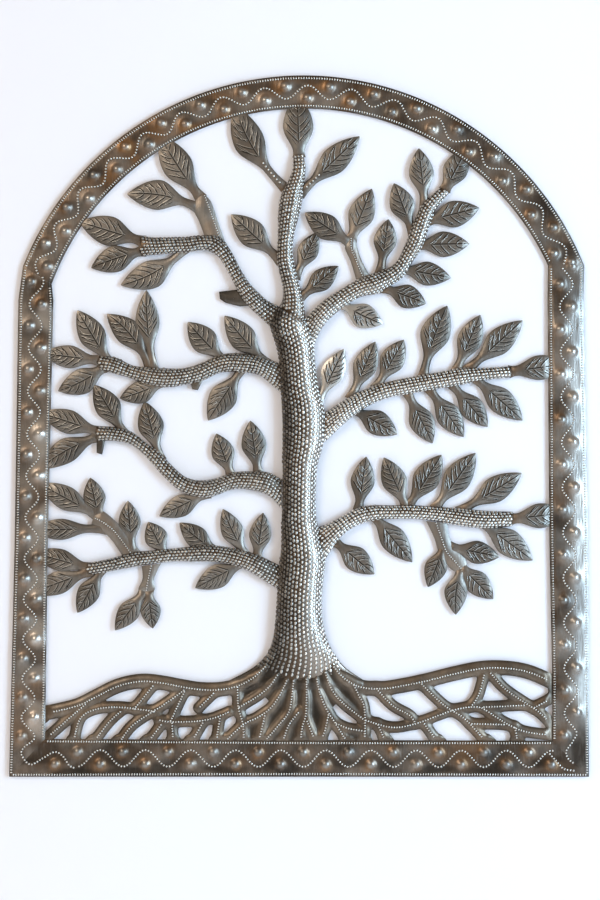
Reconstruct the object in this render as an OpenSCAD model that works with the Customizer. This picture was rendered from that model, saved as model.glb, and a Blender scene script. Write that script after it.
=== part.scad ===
// Tree of life: a wall plaque pierced and hammered out of drum steel.
// The front faces -Y, the back of the sheet is the plane y = 0, and +Z is up.
// Outlines are drawn as [across, up] in millimetres from the middle of the bottom edge.

/* [Sheet] */
// Thickness of the steel sheet
sheet_t = 1.2; // [0.9:0.1:2]

/* [Border] */
// Radius of the arch's outer edge
arch_r = 328; // [327:1:329]
// Width of the border along the arch
rail_w = 36; // [34:1:38]
// Diameter of a dome where it leaves the sheet
dome_d = 10; // [8:0.5:12]
// Height of a dome in front of the sheet
dome_h = 3; // [2:0.5:4]
// Distance from one dome to the next along the arch
dome_pitch = 23.5; // [22:0.5:26]
// How far the domes stand to either side of the rail's middle line
dome_sway = 6.5; // [5:0.5:8]

/* [Tree] */
// Greatest depth of the hollow trunk
trunk_depth = 16; // [12:1:20]
// Depth of a hollow limb as a share of half its width
limb_round = 0.8; // [0.5:0.05:1]
// Half width of a leaf's stem
stem_half = 4.5; // [3.5:0.5:5.5]
// Width of a root strand
root_w = 12; // [10:0.5:13]
// Width of the ridge of earth
ridge_w = 16; // [14:1:18]

/* [Hidden] */

// Border corners and kinks: the plaque was cut freehand, so the two sides differ a little
arch_c = [6, 434];
left_foot = [-314, 0];
right_foot = [316, 0];
left_shoulder = [-300, 555];
right_shoulder = [310, 555];
left_spring = [-267, 535];
right_spring = [270, 555];
left_inner = [[-275, 41], [-272, 257], [-266, 518], left_spring];
right_inner = [[276, 39], [276, 113], [273, 257], [271, 518], right_spring];
left_outer = [[-308, 257], [-304, 518]];
right_outer = [[315, 257], [310, 518]];

// Limbs: each row is one edge point and the point across from it, from the root outwards
TRUNK = [
    [-74, 105, 71, 105], [-50, 118, 52, 118], [-35, 132, 41, 131], [-28, 148, 32, 148],
    [-24, 175, 26, 175], [-22, 205, 26, 203], [-20, 234, 29, 234], [-18, 257, 24, 257],
    [-18, 279, 20, 279], [-17, 305, 19, 305], [-17, 339, 21, 339], [-17, 360, 27, 360],
    [-17, 382, 29, 382], [-18, 405, 28, 402], [-19, 425, 22, 420], [-20, 450, 18, 450],
    [-24, 469, 17, 469], [-30, 489, 12, 486], [-27, 502, 9, 494], [-21, 511, 8, 498]
];
CROWN = [
    [-21, 511, 8, 498], [-17, 519, 6, 515], [-17, 532, 2, 533], [-20, 546, -3, 550],
    [-23, 562, -6, 568], [-22, 584, -5, 586], [-22, 606, 0, 606], [-21, 624, 4, 622],
    [-17, 636, 5, 636], [-10, 649, 7, 649], [-6, 662, 8, 662], [-5, 675, 6, 675]
];
UPPER_LEFT = [
    [-21, 511, -30, 489], [-33, 517, -41, 499], [-45, 528, -52, 509], [-56, 540, -63, 523],
    [-65, 556, -75, 546], [-74, 573, -86, 564], [-86, 587, -97, 571], [-104, 588, -107, 572],
    [-122, 586, -120, 570], [-137, 586, -137, 569], [-156, 586, -156, 567], [-170, 588, -170, 566]
];
UPPER_RIGHT = [
    [8, 498, 17, 469], [21, 512, 25, 486], [34, 522, 37, 500], [47, 530, 53, 513],
    [62, 539, 70, 522], [78, 546, 87, 525], [94, 551, 101, 534], [106, 559, 114, 543],
    [113, 571, 126, 562], [119, 586, 135, 575], [125, 602, 142, 596], [133, 619, 148, 613],
    [145, 632, 156, 625], [155, 640, 164, 634]
];
LEFT_HIGH = [
    [-20, 449, -19, 418], [-33, 454, -31, 428], [-46, 458, -44, 437], [-63, 460, -59, 439],
    [-78, 460, -74, 440], [-93, 455, -88, 438], [-107, 449, -102, 431], [-124, 444, -122, 426],
    [-145, 444, -143, 423], [-163, 445, -162, 426], [-180, 447, -182, 433],
    [-199, 456, -203, 439], [-216, 457, -217, 443]
];
LEFT_MIDDLE = [
    [-18, 323, -18, 292], [-33, 331, -33, 306], [-50, 332, -54, 312], [-69, 331, -72, 312],
    [-96, 323, -100, 303], [-119, 324, -128, 311], [-137, 338, -147, 327],
    [-151, 353, -161, 343], [-166, 363, -175, 357], [-181, 375, -188, 363],
    [-199, 380, -203, 365], [-219, 381, -218, 365]
];
LEFT_LOW = [
    [-21, 230, -22, 204], [-33, 236, -35, 212], [-52, 244, -55, 224], [-74, 249, -78, 232],
    [-98, 252, -101, 234], [-118, 250, -118, 234], [-137, 248, -137, 234],
    [-159, 246, -161, 231], [-179, 244, -181, 228], [-205, 237, -205, 223],
    [-229, 232, -228, 220]
];
RIGHT_MIDDLE = [
    [30, 396, 28, 363], [46, 407, 44, 378], [60, 415, 59, 391], [75, 422, 77, 403],
    [94, 428, 98, 412], [115, 433, 120, 416], [148, 439, 148, 421], [175, 444, 178, 426],
    [200, 444, 200, 431], [231, 446, 231, 434]
];
RIGHT_LOW = [
    [21, 271, 29, 235], [34, 276, 38, 250], [47, 283, 49, 263], [64, 292, 64, 273],
    [81, 295, 83, 279], [100, 295, 102, 280], [127, 295, 127, 280], [155, 293, 155, 277],
    [182, 291, 180, 272], [205, 289, 203, 270], [233, 288, 231, 272]
];
UPPER_LEFT_TWIG = [
    [-102, 588, -79, 580], [-108, 604, -87, 603], [-114, 617, -93, 621], [-112, 629, -100, 635]
];
UPPER_RIGHT_TWIG = [
    [63, 540, 77, 546], [57, 560, 69, 561], [51, 574, 64, 576], [52, 586, 63, 587]
];
LEFT_LOW_TWIG = [
    [-189, 237, -168, 240], [-205, 260, -190, 269], [-217, 268, -208, 286], [-226, 271, -219, 292]
];
LEFT_LOW_HANGING_TWIG = [
    [-170, 229, -149, 232], [-169, 216, -156, 217], [-172, 208, -156, 209], [-177, 200, -153, 201]
];
RIGHT_LOW_TWIG = [
    [139, 278, 162, 275], [148, 259, 164, 262], [153, 243, 170, 248], [163, 229, 179, 240],
    [173, 218, 187, 229]
];

// Leaves: joint, tip, width, where the blade starts as a share of the length, and how far the
// middle bends to the left of the way from joint to tip
CROWN_LEAVES = [
    [-16, 642, -70, 731, 34, 0.25, 8], [1, 673, -1, 742, 33, 0, 0],
    [-18, 560, -73, 611, 30, 0.2, 0], [1, 633, 67, 696, 29, 0.2, 0],
    [-4, 542, 21, 592, 23, 0.2, 0], [-1, 518, 44, 555, 24, 0.2, 0]
];
UPPER_LEFT_LEAVES = [
    [-105, 628, -151, 698, 33, 0.1, 2], [-107, 617, -186, 633, 33, 0.2, -6],
    [-167, 581, -238, 603, 32, 0.1, 0], [-167, 572, -225, 553, 29, 0.1, -1]
];
UPPER_LEFT_HANGING_LEAF = [[-122, 576, -193, 534, 31, 0.2, 7]];
UPPER_RIGHT_INNER_LEAVES = [
    [138, 617, 131, 683, 27, 0.2, 0], [126, 588, 104, 645, 27, 0.2, 0],
    [89, 545, 98, 606, 25, 0.25, 0]
];
UPPER_RIGHT_TWIG_LEAVES = [[57, 583, 80, 639, 28, 0.05, 0], [58, 579, 7, 613, 28, 0.1, 0]];
UPPER_RIGHT_OUTER_LEAVES = [
    [159, 637, 184, 684, 27, 0, 0], [140, 604, 197, 618, 29, 0.05, 0],
    [129, 578, 186, 579, 28, 0.05, 0], [110, 552, 166, 542, 26, 0.1, 0],
    [91, 532, 139, 514, 26, 0.15, 0], [45, 516, 92, 492, 27, 0.15, -2]
];
TRUNK_LEAF = [[20, 404, 50, 465, 25, 0.2, 0]];
LEFT_HIGH_UPPER_LEAVES = [
    [-160, 440, -208, 503, 29, 0.25, -7], [-157, 440, -165, 529, 26, 0.25, 2],
    [-78, 450, -120, 494, 29, 0.15, 1], [-34, 448, -80, 501, 29, 0.15, 1]
];
LEFT_HIGH_TIP_LEAVES = [
    [-205, 449, -240, 507, 29, 0.1, 0], [-214, 452, -279, 460, 25, 0.1, 0],
    [-210, 446, -261, 419, 28, 0.05, 3]
];
LEFT_HIGH_LOWER_LEAVES = [
    [-143, 431, -194, 411, 25, 0.15, 2], [-58, 448, -98, 387, 30, 0.2, 0]
];
LEFT_MIDDLE_UPPER_LEAVES = [
    [-189, 371, -222, 426, 28, 0.15, -1], [-150, 344, -167, 408, 28, 0.2, 0],
    [-72, 325, -89, 373, 25, 0.15, 0], [-43, 327, -52, 387, 27, 0.15, 0]
];
LEFT_MIDDLE_TIP_LEAVES = [
    [-214, 374, -281, 396, 26, 0.1, 0], [-215, 370, -281, 334, 27, 0.1, -4]
];
LEFT_MIDDLE_LOWER_LEAF = [[-97, 309, -151, 283, 24, 0.15, 0]];
LEFT_LOW_UPPER_LEAVES = [
    [-180, 240, -185, 300, 24, 0.25, 0], [-144, 240, -163, 277, 25, 0.1, 0],
    [-88, 244, -129, 276, 24, 0.1, 1], [-56, 238, -82, 291, 24, 0.15, 1],
    [-45, 236, -38, 287, 24, 0.1, 0]
];
LEFT_LOW_TWIG_LEAVES = [
    [-218, 284, -282, 319, 26, 0.1, 0], [-217, 283, -226, 325, 24, 0, 0],
    [-208, 270, -292, 268, 23, 0.22, 0]
];
LEFT_LOW_TIP_LEAVES = [
    [-224, 226, -290, 244, 24, 0.1, 0], [-225, 224, -292, 199, 25, 0.1, 0],
    [-212, 228, -240, 178, 24, 0.15, 0]
];
LEFT_LOW_HANGING_LEAVES = [
    [-53, 236, -112, 205, 26, 0.2, 0], [-166, 203, -199, 159, 23, 0.12, 0],
    [-163, 203, -158, 161, 22, 0.1, 0]
];
RIGHT_MIDDLE_UPPER_LEAVES = [
    [57, 410, 84, 473, 26, 0.2, 0], [84, 421, 115, 475, 27, 0.2, 0],
    [135, 430, 162, 512, 32, 0.25, 3], [170, 437, 198, 502, 27, 0.2, 0],
    [182, 440, 244, 496, 28, 0.2, 0], [229, 440, 296, 449, 27, 0.04, 0]
];
RIGHT_MIDDLE_LOWER_LEAVES = [
    [57, 401, 108, 372, 27, 0.15, 0], [117, 421, 146, 362, 27, 0.2, 0],
    [140, 425, 180, 369, 27, 0.2, 0], [164, 430, 206, 380, 26, 0.2, 0],
    [189, 436, 244, 387, 28, 0.15, 0]
];
RIGHT_LOW_UPPER_LEAVES = [
    [65, 287, 74, 348, 26, 0.15, 0], [119, 290, 93, 347, 27, 0.15, 0],
    [118, 291, 156, 350, 29, 0.15, 0], [147, 289, 193, 352, 30, 0.15, 0],
    [174, 287, 243, 330, 28, 0.2, 0], [230, 280, 295, 287, 27, 0.05, 0]
];
RIGHT_LOW_LOWER_LEAVES = [
    [37, 258, 83, 220, 27, 0.15, 0], [80, 286, 124, 233, 28, 0.1, 0],
    [191, 282, 255, 235, 29, 0.2, 0]
];
RIGHT_LOW_TWIG_LEAVES = [
    [159, 251, 141, 206, 24, 0.1, 0], [178, 228, 171, 176, 25, 0.1, -3],
    [176, 229, 212, 193, 26, 0.05, 0], [163, 250, 219, 239, 25, 0.15, 0]
];

// Cut-off side stubs on the left limbs, each drawn into its limb
STUBS = [
    [[-86, 527], [-60, 530], [-50, 512], [-63, 511], [-79, 515], [-85, 519]],
    [[-118, 430], [-115, 421], [-109, 420], [-102, 434]],
    [[-219, 368], [-219, 352], [-213, 350], [-209, 368]]
];

// The ridges of earth and the roots, as middle lines from the trunk outwards
LEFT_RIDGE = [
    [-71, 98], [-85, 95], [-106, 95], [-126, 98], [-147, 102], [-170, 104], [-195, 99],
    [-220, 87], [-241, 77], [-280, 68]
];
RIGHT_RIDGE = [
    [69, 98], [84, 96], [107, 98], [137, 104], [169, 112], [200, 118], [228, 118], [253, 113],
    [282, 100]
];
LEFT_ROOTS = [
    [[-157, 100], [-178, 74]],
    [[-123, 95], [-147, 78], [-179, 57], [-194, 38]],
    [[-123, 94], [-139, 60]],
    [[-91, 92], [-108, 75]],
    [[-155, 71], [-175, 74], [-199, 76], [-222, 73], [-237, 63], [-244, 38]],
    [[-230, 80], [-252, 61], [-278, 38]],
    [[-192, 72], [-206, 59], [-222, 38]],
    [[-75, 71], [-89, 65], [-108, 61], [-137, 60], [-151, 62]],
    [[-148, 58], [-163, 38]],
    [[-137, 60], [-136, 38]],
    [[-103, 60], [-116, 38]],
    [[-85, 65], [-89, 38]]
];
FAN_ROOTS = [
    [[-66, 102], [-64, 76], [-60, 57], [-59, 38]],
    [[-15, 106], [-24, 84], [-37, 70], [-60, 57], [-80, 38]],
    [[-28, 106], [-39, 88], [-64, 76]],
    [[-36, 68], [-43, 38]],
    [[-5, 106], [-7, 89], [-9, 73], [-17, 61], [-37, 38]],
    [[1, 71], [-5, 64], [-11, 55], [-17, 38]],
    [[9, 106], [10, 85], [9, 67], [5, 53], [3, 38]],
    [[9, 62], [19, 38]],
    [[21, 106], [24, 89], [30, 73], [39, 59], [53, 38]],
    [[31, 69], [28, 51], [25, 38]],
    [[32, 106], [40, 94], [55, 75], [72, 62]],
    [[39, 59], [54, 53], [72, 50]],
    [[54, 106], [63, 90], [72, 74], [72, 38]]
];
RIGHT_ROOTS = [
    [[84, 97], [102, 78], [121, 67], [127, 58]],
    [[72, 62], [102, 54], [127, 58], [152, 67], [173, 74], [196, 76], [212, 67], [228, 57],
        [248, 49], [280, 45]],
    [[133, 102], [157, 79], [181, 63], [204, 38]],
    [[202, 112], [196, 90], [188, 77]],
    [[208, 114], [223, 97], [244, 82], [262, 70], [280, 52]],
    [[200, 76], [246, 78]],
    [[255, 75], [280, 88]],
    [[136, 59], [151, 38]],
    [[187, 58], [226, 57]],
    [[235, 55], [238, 38]],
    [[86, 58], [95, 38]]
];

BIG = 400;
DARK_STEEL = [0.36, 0.34, 0.33];
BROWN_STEEL = [0.40, 0.33, 0.27];
BRIGHT_STEEL = [0.56, 0.57, 0.59];

// ---- curves -----------------------------------------------------------------------------

// Catmull-Rom point between b and c, for points or rows of any length
function between(a, b, c, d, u) =
    0.5 * (2 * b + (c - a) * u + (2 * a - 5 * b + 4 * c - d) * u * u
        + (3 * b - a - 3 * c + d) * u * u * u);

// The same rows with steps - 1 more in each interval
function smooth(rows, steps) = [
    for (i = [0 : len(rows) - 2], s = [0 : steps - 1])
        between(rows[max(i - 1, 0)], rows[i], rows[i + 1], rows[min(i + 2, len(rows) - 1)],
            s / steps),
    rows[len(rows) - 1]
];

function backwards(list) = [for (i = [len(list) - 1 : -1 : 0]) list[i]];

// Unit vector to the left of the way from a to b
function left_of(a, b) = [a[1] - b[1], b[0] - a[0]] / norm(b - a);

// ---- flat sheet -------------------------------------------------------------------------

// Stands a flat outline up as sheet, with its back on the plane y = 0
module sheet() {
    rotate([90, 0, 0]) linear_extrude(sheet_t) children();
}

// The opening inside the border
module window() {
    intersection() {
        translate(arch_c) circle(arch_r - rail_w, $fn = 180);
        polygon(concat([[-BIG, left_spring[1]]], [left_spring], [right_spring],
            [[BIG, right_spring[1]], [BIG, 2 * BIG], [-BIG, 2 * BIG]]));
    }
    polygon(concat(left_inner, backwards(right_inner)));
}

// ---- border -----------------------------------------------------------------------------

// A hollow dome pushed out of the sheet at a point [across, up]
module dome_skin(at, inset) {
    ball_r = (pow(dome_d / 2, 2) + dome_h * dome_h) / (2 * dome_h);
    translate([at[0], ball_r - dome_h - sheet_t, at[1]]) sphere(ball_r - inset, $fn = 48);
}

// A stretch of border: its outline, with domes at the points given
module rail(domes) {
    difference() {
        union() {
            sheet() children();
            intersection() {
                union() for (at = domes) dome_skin(at, 0);
                translate([-BIG, -2 * dome_h - sheet_t, -BIG])
                    cube([2 * BIG, 2 * dome_h + sheet_t / 2, 4 * BIG]);
            }
        }
        for (at = domes) dome_skin(at, sheet_t);
    }
}

// Domes from a to b, swinging from side to side, with swing = 1 or -1 for the first.
// They are evenly spaced when even is 1, and closer together near a when it is less.
function domes_along(a, b, count, swing, even = 1) = [
    for (k = [0 : count - 1])
        let (u = k / (count - 1))
        a + (b - a) * (even * u + (1 - even) * u * u)
            + left_of(a, b) * dome_sway * (k % 2 == 0 ? swing : -swing)
];

function domes_round(from, count) = [
    for (k = [0 : count - 1])
        let (turn = from - k * dome_pitch / (arch_r - rail_w / 2) * 180 / PI)
        arch_c + (arch_r - rail_w / 2 + dome_sway * (k % 2 == 0 ? -1 : 1))
            * [cos(turn), sin(turn)]
];

module arch_rail() {
    color(BROWN_STEEL)
    rail(domes_round(157, 31)) difference() {
        translate(arch_c) circle(arch_r, $fn = 180);
        translate(arch_c) circle(arch_r - rail_w, $fn = 180);
        polygon([left_spring, left_spring + 2 * (left_shoulder - left_spring), [-BIG, -BIG],
            [BIG, -BIG], [BIG, right_spring[1]], right_spring, arch_c]);
    }
}

module left_rail() {
    color(BROWN_STEEL)
    rail(domes_along([-294, 43], [-281.5, 537], 23, 1, 0.93))
        polygon(concat([left_foot], left_inner, [left_shoulder], backwards(left_outer)));
}

module right_rail() {
    color(BRIGHT_STEEL)
    rail(domes_along([299, 45], [293, 536], 21, 1))
        polygon(concat([right_foot], right_outer, [right_shoulder], backwards(right_inner)));
}

module bottom_rail() {
    color(DARK_STEEL)
    rail(domes_along([-264, 19.5], [275, 19.5], 23, -1))
        polygon([left_foot, right_foot, right_inner[0], left_inner[0]]);
}

// ---- hollow limbs -----------------------------------------------------------------------

RING = 10;

function across(row) = [row[2] - row[0], row[3] - row[1]];
function middle(row) = [row[0] + row[2], row[1] + row[3]] / 2;
function edge_a(row) = [row[0], row[1]];
function edge_b(row) = [row[2], row[3]];

function depth_of(row) =
    min(trunk_depth, sheet_t + limb_round * norm(across(row)) / 2);

// A point of a half-round section at angle a, on a skin that lies inset behind the front
function on_arch(row, a, inset) =
    let (half = norm(across(row)) / 2 - inset)
    let (at = middle(row) - across(row) / norm(across(row)) * half * cos(a))
    [at[0], -(depth_of(row) - sheet_t) * sin(a) - (inset > 0 ? 0 : sheet_t), at[1]];

function foot_of(at) = [at[0], 0, at[1]];

function ring_of(row) = concat(
    [foot_of(edge_a(row))],
    [for (k = [0 : RING]) on_arch(row, 180 * k / RING, 0)],
    [foot_of(edge_b(row))],
    [for (k = [RING + 2 : -1 : 0]) on_arch(row, 180 * k / (RING + 2), sheet_t)]
);

// A hollow half-round limb through its rows, open at the back
module limb(rows) {
    fine = smooth(rows, 2);
    half = RING + 3;
    loop = 2 * half;
    last = (len(fine) - 1) * loop;
    points = [for (row = fine) each ring_of(row)];
    skin = [
        for (i = [0 : len(fine) - 2], k = [0 : loop - 1])
            let (a = i * loop + k, b = i * loop + (k + 1) % loop)
            each [[a, b, b + loop], [a, b + loop, a + loop]]
    ];
    caps = [
        for (k = [0 : half - 2])
            let (a = k, b = k + 1, c = loop - 2 - k, d = loop - 1 - k)
            each [[a, d, c], [a, c, b], [last + a, last + b, last + c], [last + a, last + c, last + d]]
    ];
    polyhedron(points, concat(skin, caps));
}

// The outline that a limb covers on the sheet
module footprint(rows) {
    fine = smooth(rows, 2);
    polygon(concat([for (row = fine) edge_a(row)],
        backwards([for (row = fine) edge_b(row)])));
}

// The same limb with its two edges swapped, which turns its skin to face out
function turned(rows) = [for (row = rows) [row[2], row[3], row[0], row[1]]];

module trunk() {
    color(DARK_STEEL) limb(turned(TRUNK));
}

module crown_limb() {
    color(DARK_STEEL) limb(turned(CROWN));
}

module upper_left_limb() {
    color(BROWN_STEEL) limb(UPPER_LEFT);
}

module upper_right_limb() {
    color(BRIGHT_STEEL) limb(turned(UPPER_RIGHT));
}

module left_high_limb() {
    color(BROWN_STEEL) limb(LEFT_HIGH);
}

module left_middle_limb() {
    color(BROWN_STEEL) limb(LEFT_MIDDLE);
}

module left_low_limb() {
    color(BROWN_STEEL) limb(LEFT_LOW);
}

module right_middle_limb() {
    color(BRIGHT_STEEL) limb(turned(RIGHT_MIDDLE));
}

module right_low_limb() {
    color(BRIGHT_STEEL) limb(turned(RIGHT_LOW));
}

// ---- twigs and stubs --------------------------------------------------------------------

module upper_left_twig() {
    color(BROWN_STEEL) sheet() difference() {
        footprint(UPPER_LEFT_TWIG);
        footprint(UPPER_LEFT);
    }
}

module upper_right_twig() {
    color(BRIGHT_STEEL) sheet() difference() {
        footprint(UPPER_RIGHT_TWIG);
        footprint(UPPER_RIGHT);
    }
}

module left_low_twig() {
    color(BROWN_STEEL) sheet() difference() {
        footprint(LEFT_LOW_TWIG);
        footprint(LEFT_LOW);
    }
}

module left_low_hanging_twig() {
    color(BROWN_STEEL) sheet() difference() {
        footprint(LEFT_LOW_HANGING_TWIG);
        footprint(LEFT_LOW);
    }
}

module right_low_twig() {
    color(BRIGHT_STEEL) sheet() difference() {
        footprint(RIGHT_LOW_TWIG);
        footprint(RIGHT_LOW);
    }
}

module side_stubs() {
    limbs = [UPPER_LEFT, LEFT_HIGH, LEFT_MIDDLE];
    color(BROWN_STEEL) sheet() for (k = [0 : len(STUBS) - 1]) difference() {
        polygon(STUBS[k]);
        footprint(limbs[k]);
    }
}

// ---- leaves -----------------------------------------------------------------------------

LEAF_STEPS = 12;

// Half width of a leaf at u, from 0 at its joint to 1 at its tip
function leaf_half(u, width, start) =
    let (v = max(0, (u - start) / (1 - start)))
    let (blade = v < 0.5 ? (1 - cos(360 * v)) / 2 : pow(sin(180 * v), 0.85))
    let (foot = pow(max(0, 1 - u / 0.25), 2))
    stem_half * (1 - v) * (1 + 0.6 * foot) + (width - stem_half) / 2 * blade;

// A point of a leaf at u along its bent middle line and aside to the left of it
function leaf_point(joint, tip, bend, u, aside) =
    joint + (tip - joint) * u + left_of(joint, tip) * (4 * bend * u * (1 - u) + aside);

module leaf(spec) {
    joint = [spec[0], spec[1]];
    tip = [spec[2], spec[3]];
    stations = [for (k = [0 : LEAF_STEPS]) k / LEAF_STEPS];
    edge = [for (u = stations) leaf_half(u, spec[4], spec[5])];
    polygon(concat(
        [for (k = [0 : LEAF_STEPS]) leaf_point(joint, tip, spec[6], stations[k], edge[k])],
        [for (k = [LEAF_STEPS - 1 : -1 : 0])
            leaf_point(joint, tip, spec[6], stations[k], -edge[k])]
    ));
}

// A group of leaves, cut back to the border and to the limb they grow from
module leaves(specs) {
    sheet() difference() {
        intersection() {
            union() for (spec = specs) leaf(spec);
            window();
        }
        children();
    }
}

module crown_leaves() {
    color(DARK_STEEL) leaves(CROWN_LEAVES) footprint(CROWN);
}

module upper_left_leaves() {
    color(BROWN_STEEL) leaves(UPPER_LEFT_LEAVES) {
        footprint(UPPER_LEFT);
        footprint(UPPER_LEFT_TWIG);
    }
}

module upper_left_hanging_leaf() {
    color(BROWN_STEEL) leaves(UPPER_LEFT_HANGING_LEAF) footprint(UPPER_LEFT);
}

module upper_right_inner_leaves() {
    color(BRIGHT_STEEL) leaves(UPPER_RIGHT_INNER_LEAVES) footprint(UPPER_RIGHT);
}

module upper_right_twig_leaves() {
    color(BRIGHT_STEEL) leaves(UPPER_RIGHT_TWIG_LEAVES) {
        footprint(UPPER_RIGHT_TWIG);
        leaf(CROWN_LEAVES[4]);
    }
}

module upper_right_outer_leaves() {
    color(BRIGHT_STEEL) leaves(UPPER_RIGHT_OUTER_LEAVES) footprint(UPPER_RIGHT);
}

module trunk_leaf() {
    color(BRIGHT_STEEL) leaves(TRUNK_LEAF) footprint(TRUNK);
}

module left_high_upper_leaves() {
    color(BROWN_STEEL) leaves(LEFT_HIGH_UPPER_LEAVES) {
        footprint(LEFT_HIGH);
        leaf(UPPER_LEFT_HANGING_LEAF[0]);
    }
}

module left_high_tip_leaves() {
    color(BROWN_STEEL) leaves(LEFT_HIGH_TIP_LEAVES) footprint(LEFT_HIGH);
}

module left_high_lower_leaves() {
    color(BROWN_STEEL) leaves(LEFT_HIGH_LOWER_LEAVES) footprint(LEFT_HIGH);
}

module left_middle_upper_leaves() {
    color(BROWN_STEEL) leaves(LEFT_MIDDLE_UPPER_LEAVES) {
        footprint(LEFT_MIDDLE);
        for (spec = LEFT_HIGH_TIP_LEAVES) leaf(spec);
        for (spec = LEFT_HIGH_LOWER_LEAVES) leaf(spec);
    }
}

module left_middle_tip_leaves() {
    color(BROWN_STEEL) leaves(LEFT_MIDDLE_TIP_LEAVES) footprint(LEFT_MIDDLE);
}

module left_middle_lower_leaf() {
    color(BROWN_STEEL) leaves(LEFT_MIDDLE_LOWER_LEAF) footprint(LEFT_MIDDLE);
}

module left_low_upper_leaves() {
    color(BROWN_STEEL) leaves(LEFT_LOW_UPPER_LEAVES) {
        footprint(LEFT_LOW);
        footprint(LEFT_LOW_TWIG);
    }
}

module left_low_twig_leaves() {
    color(BROWN_STEEL) leaves(LEFT_LOW_TWIG_LEAVES) footprint(LEFT_LOW_TWIG);
}

module left_low_tip_leaves() {
    color(BROWN_STEEL) leaves(LEFT_LOW_TIP_LEAVES) footprint(LEFT_LOW);
}

module left_low_hanging_leaves() {
    color(BROWN_STEEL) leaves(LEFT_LOW_HANGING_LEAVES) {
        footprint(LEFT_LOW);
        footprint(LEFT_LOW_HANGING_TWIG);
    }
}

module right_middle_upper_leaves() {
    color(BRIGHT_STEEL) leaves(RIGHT_MIDDLE_UPPER_LEAVES) footprint(RIGHT_MIDDLE);
}

module right_middle_lower_leaves() {
    color(BRIGHT_STEEL) leaves(RIGHT_MIDDLE_LOWER_LEAVES) footprint(RIGHT_MIDDLE);
}

module right_low_upper_leaves() {
    color(BRIGHT_STEEL) leaves(RIGHT_LOW_UPPER_LEAVES) footprint(RIGHT_LOW);
}

module right_low_lower_leaves() {
    color(BRIGHT_STEEL) leaves(RIGHT_LOW_LOWER_LEAVES) footprint(RIGHT_LOW);
}

module right_low_twig_leaves() {
    color(BRIGHT_STEEL) leaves(RIGHT_LOW_TWIG_LEAVES) footprint(RIGHT_LOW_TWIG);
}

// ---- earth and roots --------------------------------------------------------------------

// A strip of a given width along a line of points
module strip(line, width) {
    fine = smooth(line, 2);
    last = len(fine) - 1;
    sides = [for (k = [0 : last]) left_of(fine[max(k - 1, 0)], fine[min(k + 1, last)])];
    polygon(concat([for (k = [0 : last]) fine[k] + sides[k] * width / 2],
        backwards([for (k = [0 : last]) fine[k] - sides[k] * width / 2])));
}

module ridge(line) {
    sheet() difference() {
        intersection() {
            strip(line, ridge_w);
            window();
        }
        footprint(TRUNK);
    }
}

// Everything inside the border and under the middle of the ridges of earth
module root_zone() {
    intersection() {
        polygon(concat(backwards(LEFT_RIDGE), [[-50, 112], [52, 112]], RIGHT_RIDGE,
            [[BIG, 0], [-BIG, 0]]));
        window();
    }
}

// Roots under the ridges: strips along their lines, and any web behind them
module strands(lines) {
    difference() {
        intersection() {
            union() {
                children();
                for (line = lines) strip(line, root_w);
            }
            root_zone();
        }
        footprint(TRUNK);
        strip(LEFT_RIDGE, ridge_w);
        strip(RIGHT_RIDGE, ridge_w);
    }
}

module left_ground() {
    color(BROWN_STEEL) ridge(LEFT_RIDGE);
}

module right_ground() {
    color(BROWN_STEEL) ridge(RIGHT_RIDGE);
}

module root_fan() {
    color(DARK_STEEL) sheet() strands(FAN_ROOTS)
        polygon([[-62, 106], [-60, 84], [-44, 82], [-36, 66], [-34, 38], [40, 38], [42, 66],
            [56, 78], [64, 90], [62, 106]]);
}

module left_roots() {
    color(BROWN_STEEL) sheet() difference() {
        strands(LEFT_ROOTS);
        strands(FAN_ROOTS);
    }
}

module right_roots() {
    color(BROWN_STEEL) sheet() difference() {
        strands(RIGHT_ROOTS);
        strands(FAN_ROOTS);
    }
}

arch_rail();
left_rail();
right_rail();
bottom_rail();
trunk();
crown_limb();
upper_left_limb();
upper_right_limb();
left_high_limb();
left_middle_limb();
left_low_limb();
right_middle_limb();
right_low_limb();
upper_left_twig();
upper_right_twig();
left_low_twig();
left_low_hanging_twig();
right_low_twig();
side_stubs();
crown_leaves();
upper_left_leaves();
upper_left_hanging_leaf();
upper_right_inner_leaves();
upper_right_twig_leaves();
upper_right_outer_leaves();
trunk_leaf();
left_high_upper_leaves();
left_high_tip_leaves();
left_high_lower_leaves();
left_middle_upper_leaves();
left_middle_tip_leaves();
left_middle_lower_leaf();
left_low_upper_leaves();
left_low_twig_leaves();
left_low_tip_leaves();
left_low_hanging_leaves();
right_middle_upper_leaves();
right_middle_lower_leaves();
right_low_upper_leaves();
right_low_lower_leaves();
right_low_twig_leaves();
left_ground();
right_ground();
left_roots();
root_fan();
right_roots();
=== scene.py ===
"""Looks of a tree-of-life wall plaque, pierced and hammered out of drum steel.

Every shape is worked out in millimetres as (across, out, up): across to the viewer's right from
the middle of the bottom edge, out from the wall towards the viewer, and up from the bottom edge.
"""

import math
import random

import bpy
import numpy
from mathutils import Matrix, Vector, noise


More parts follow.
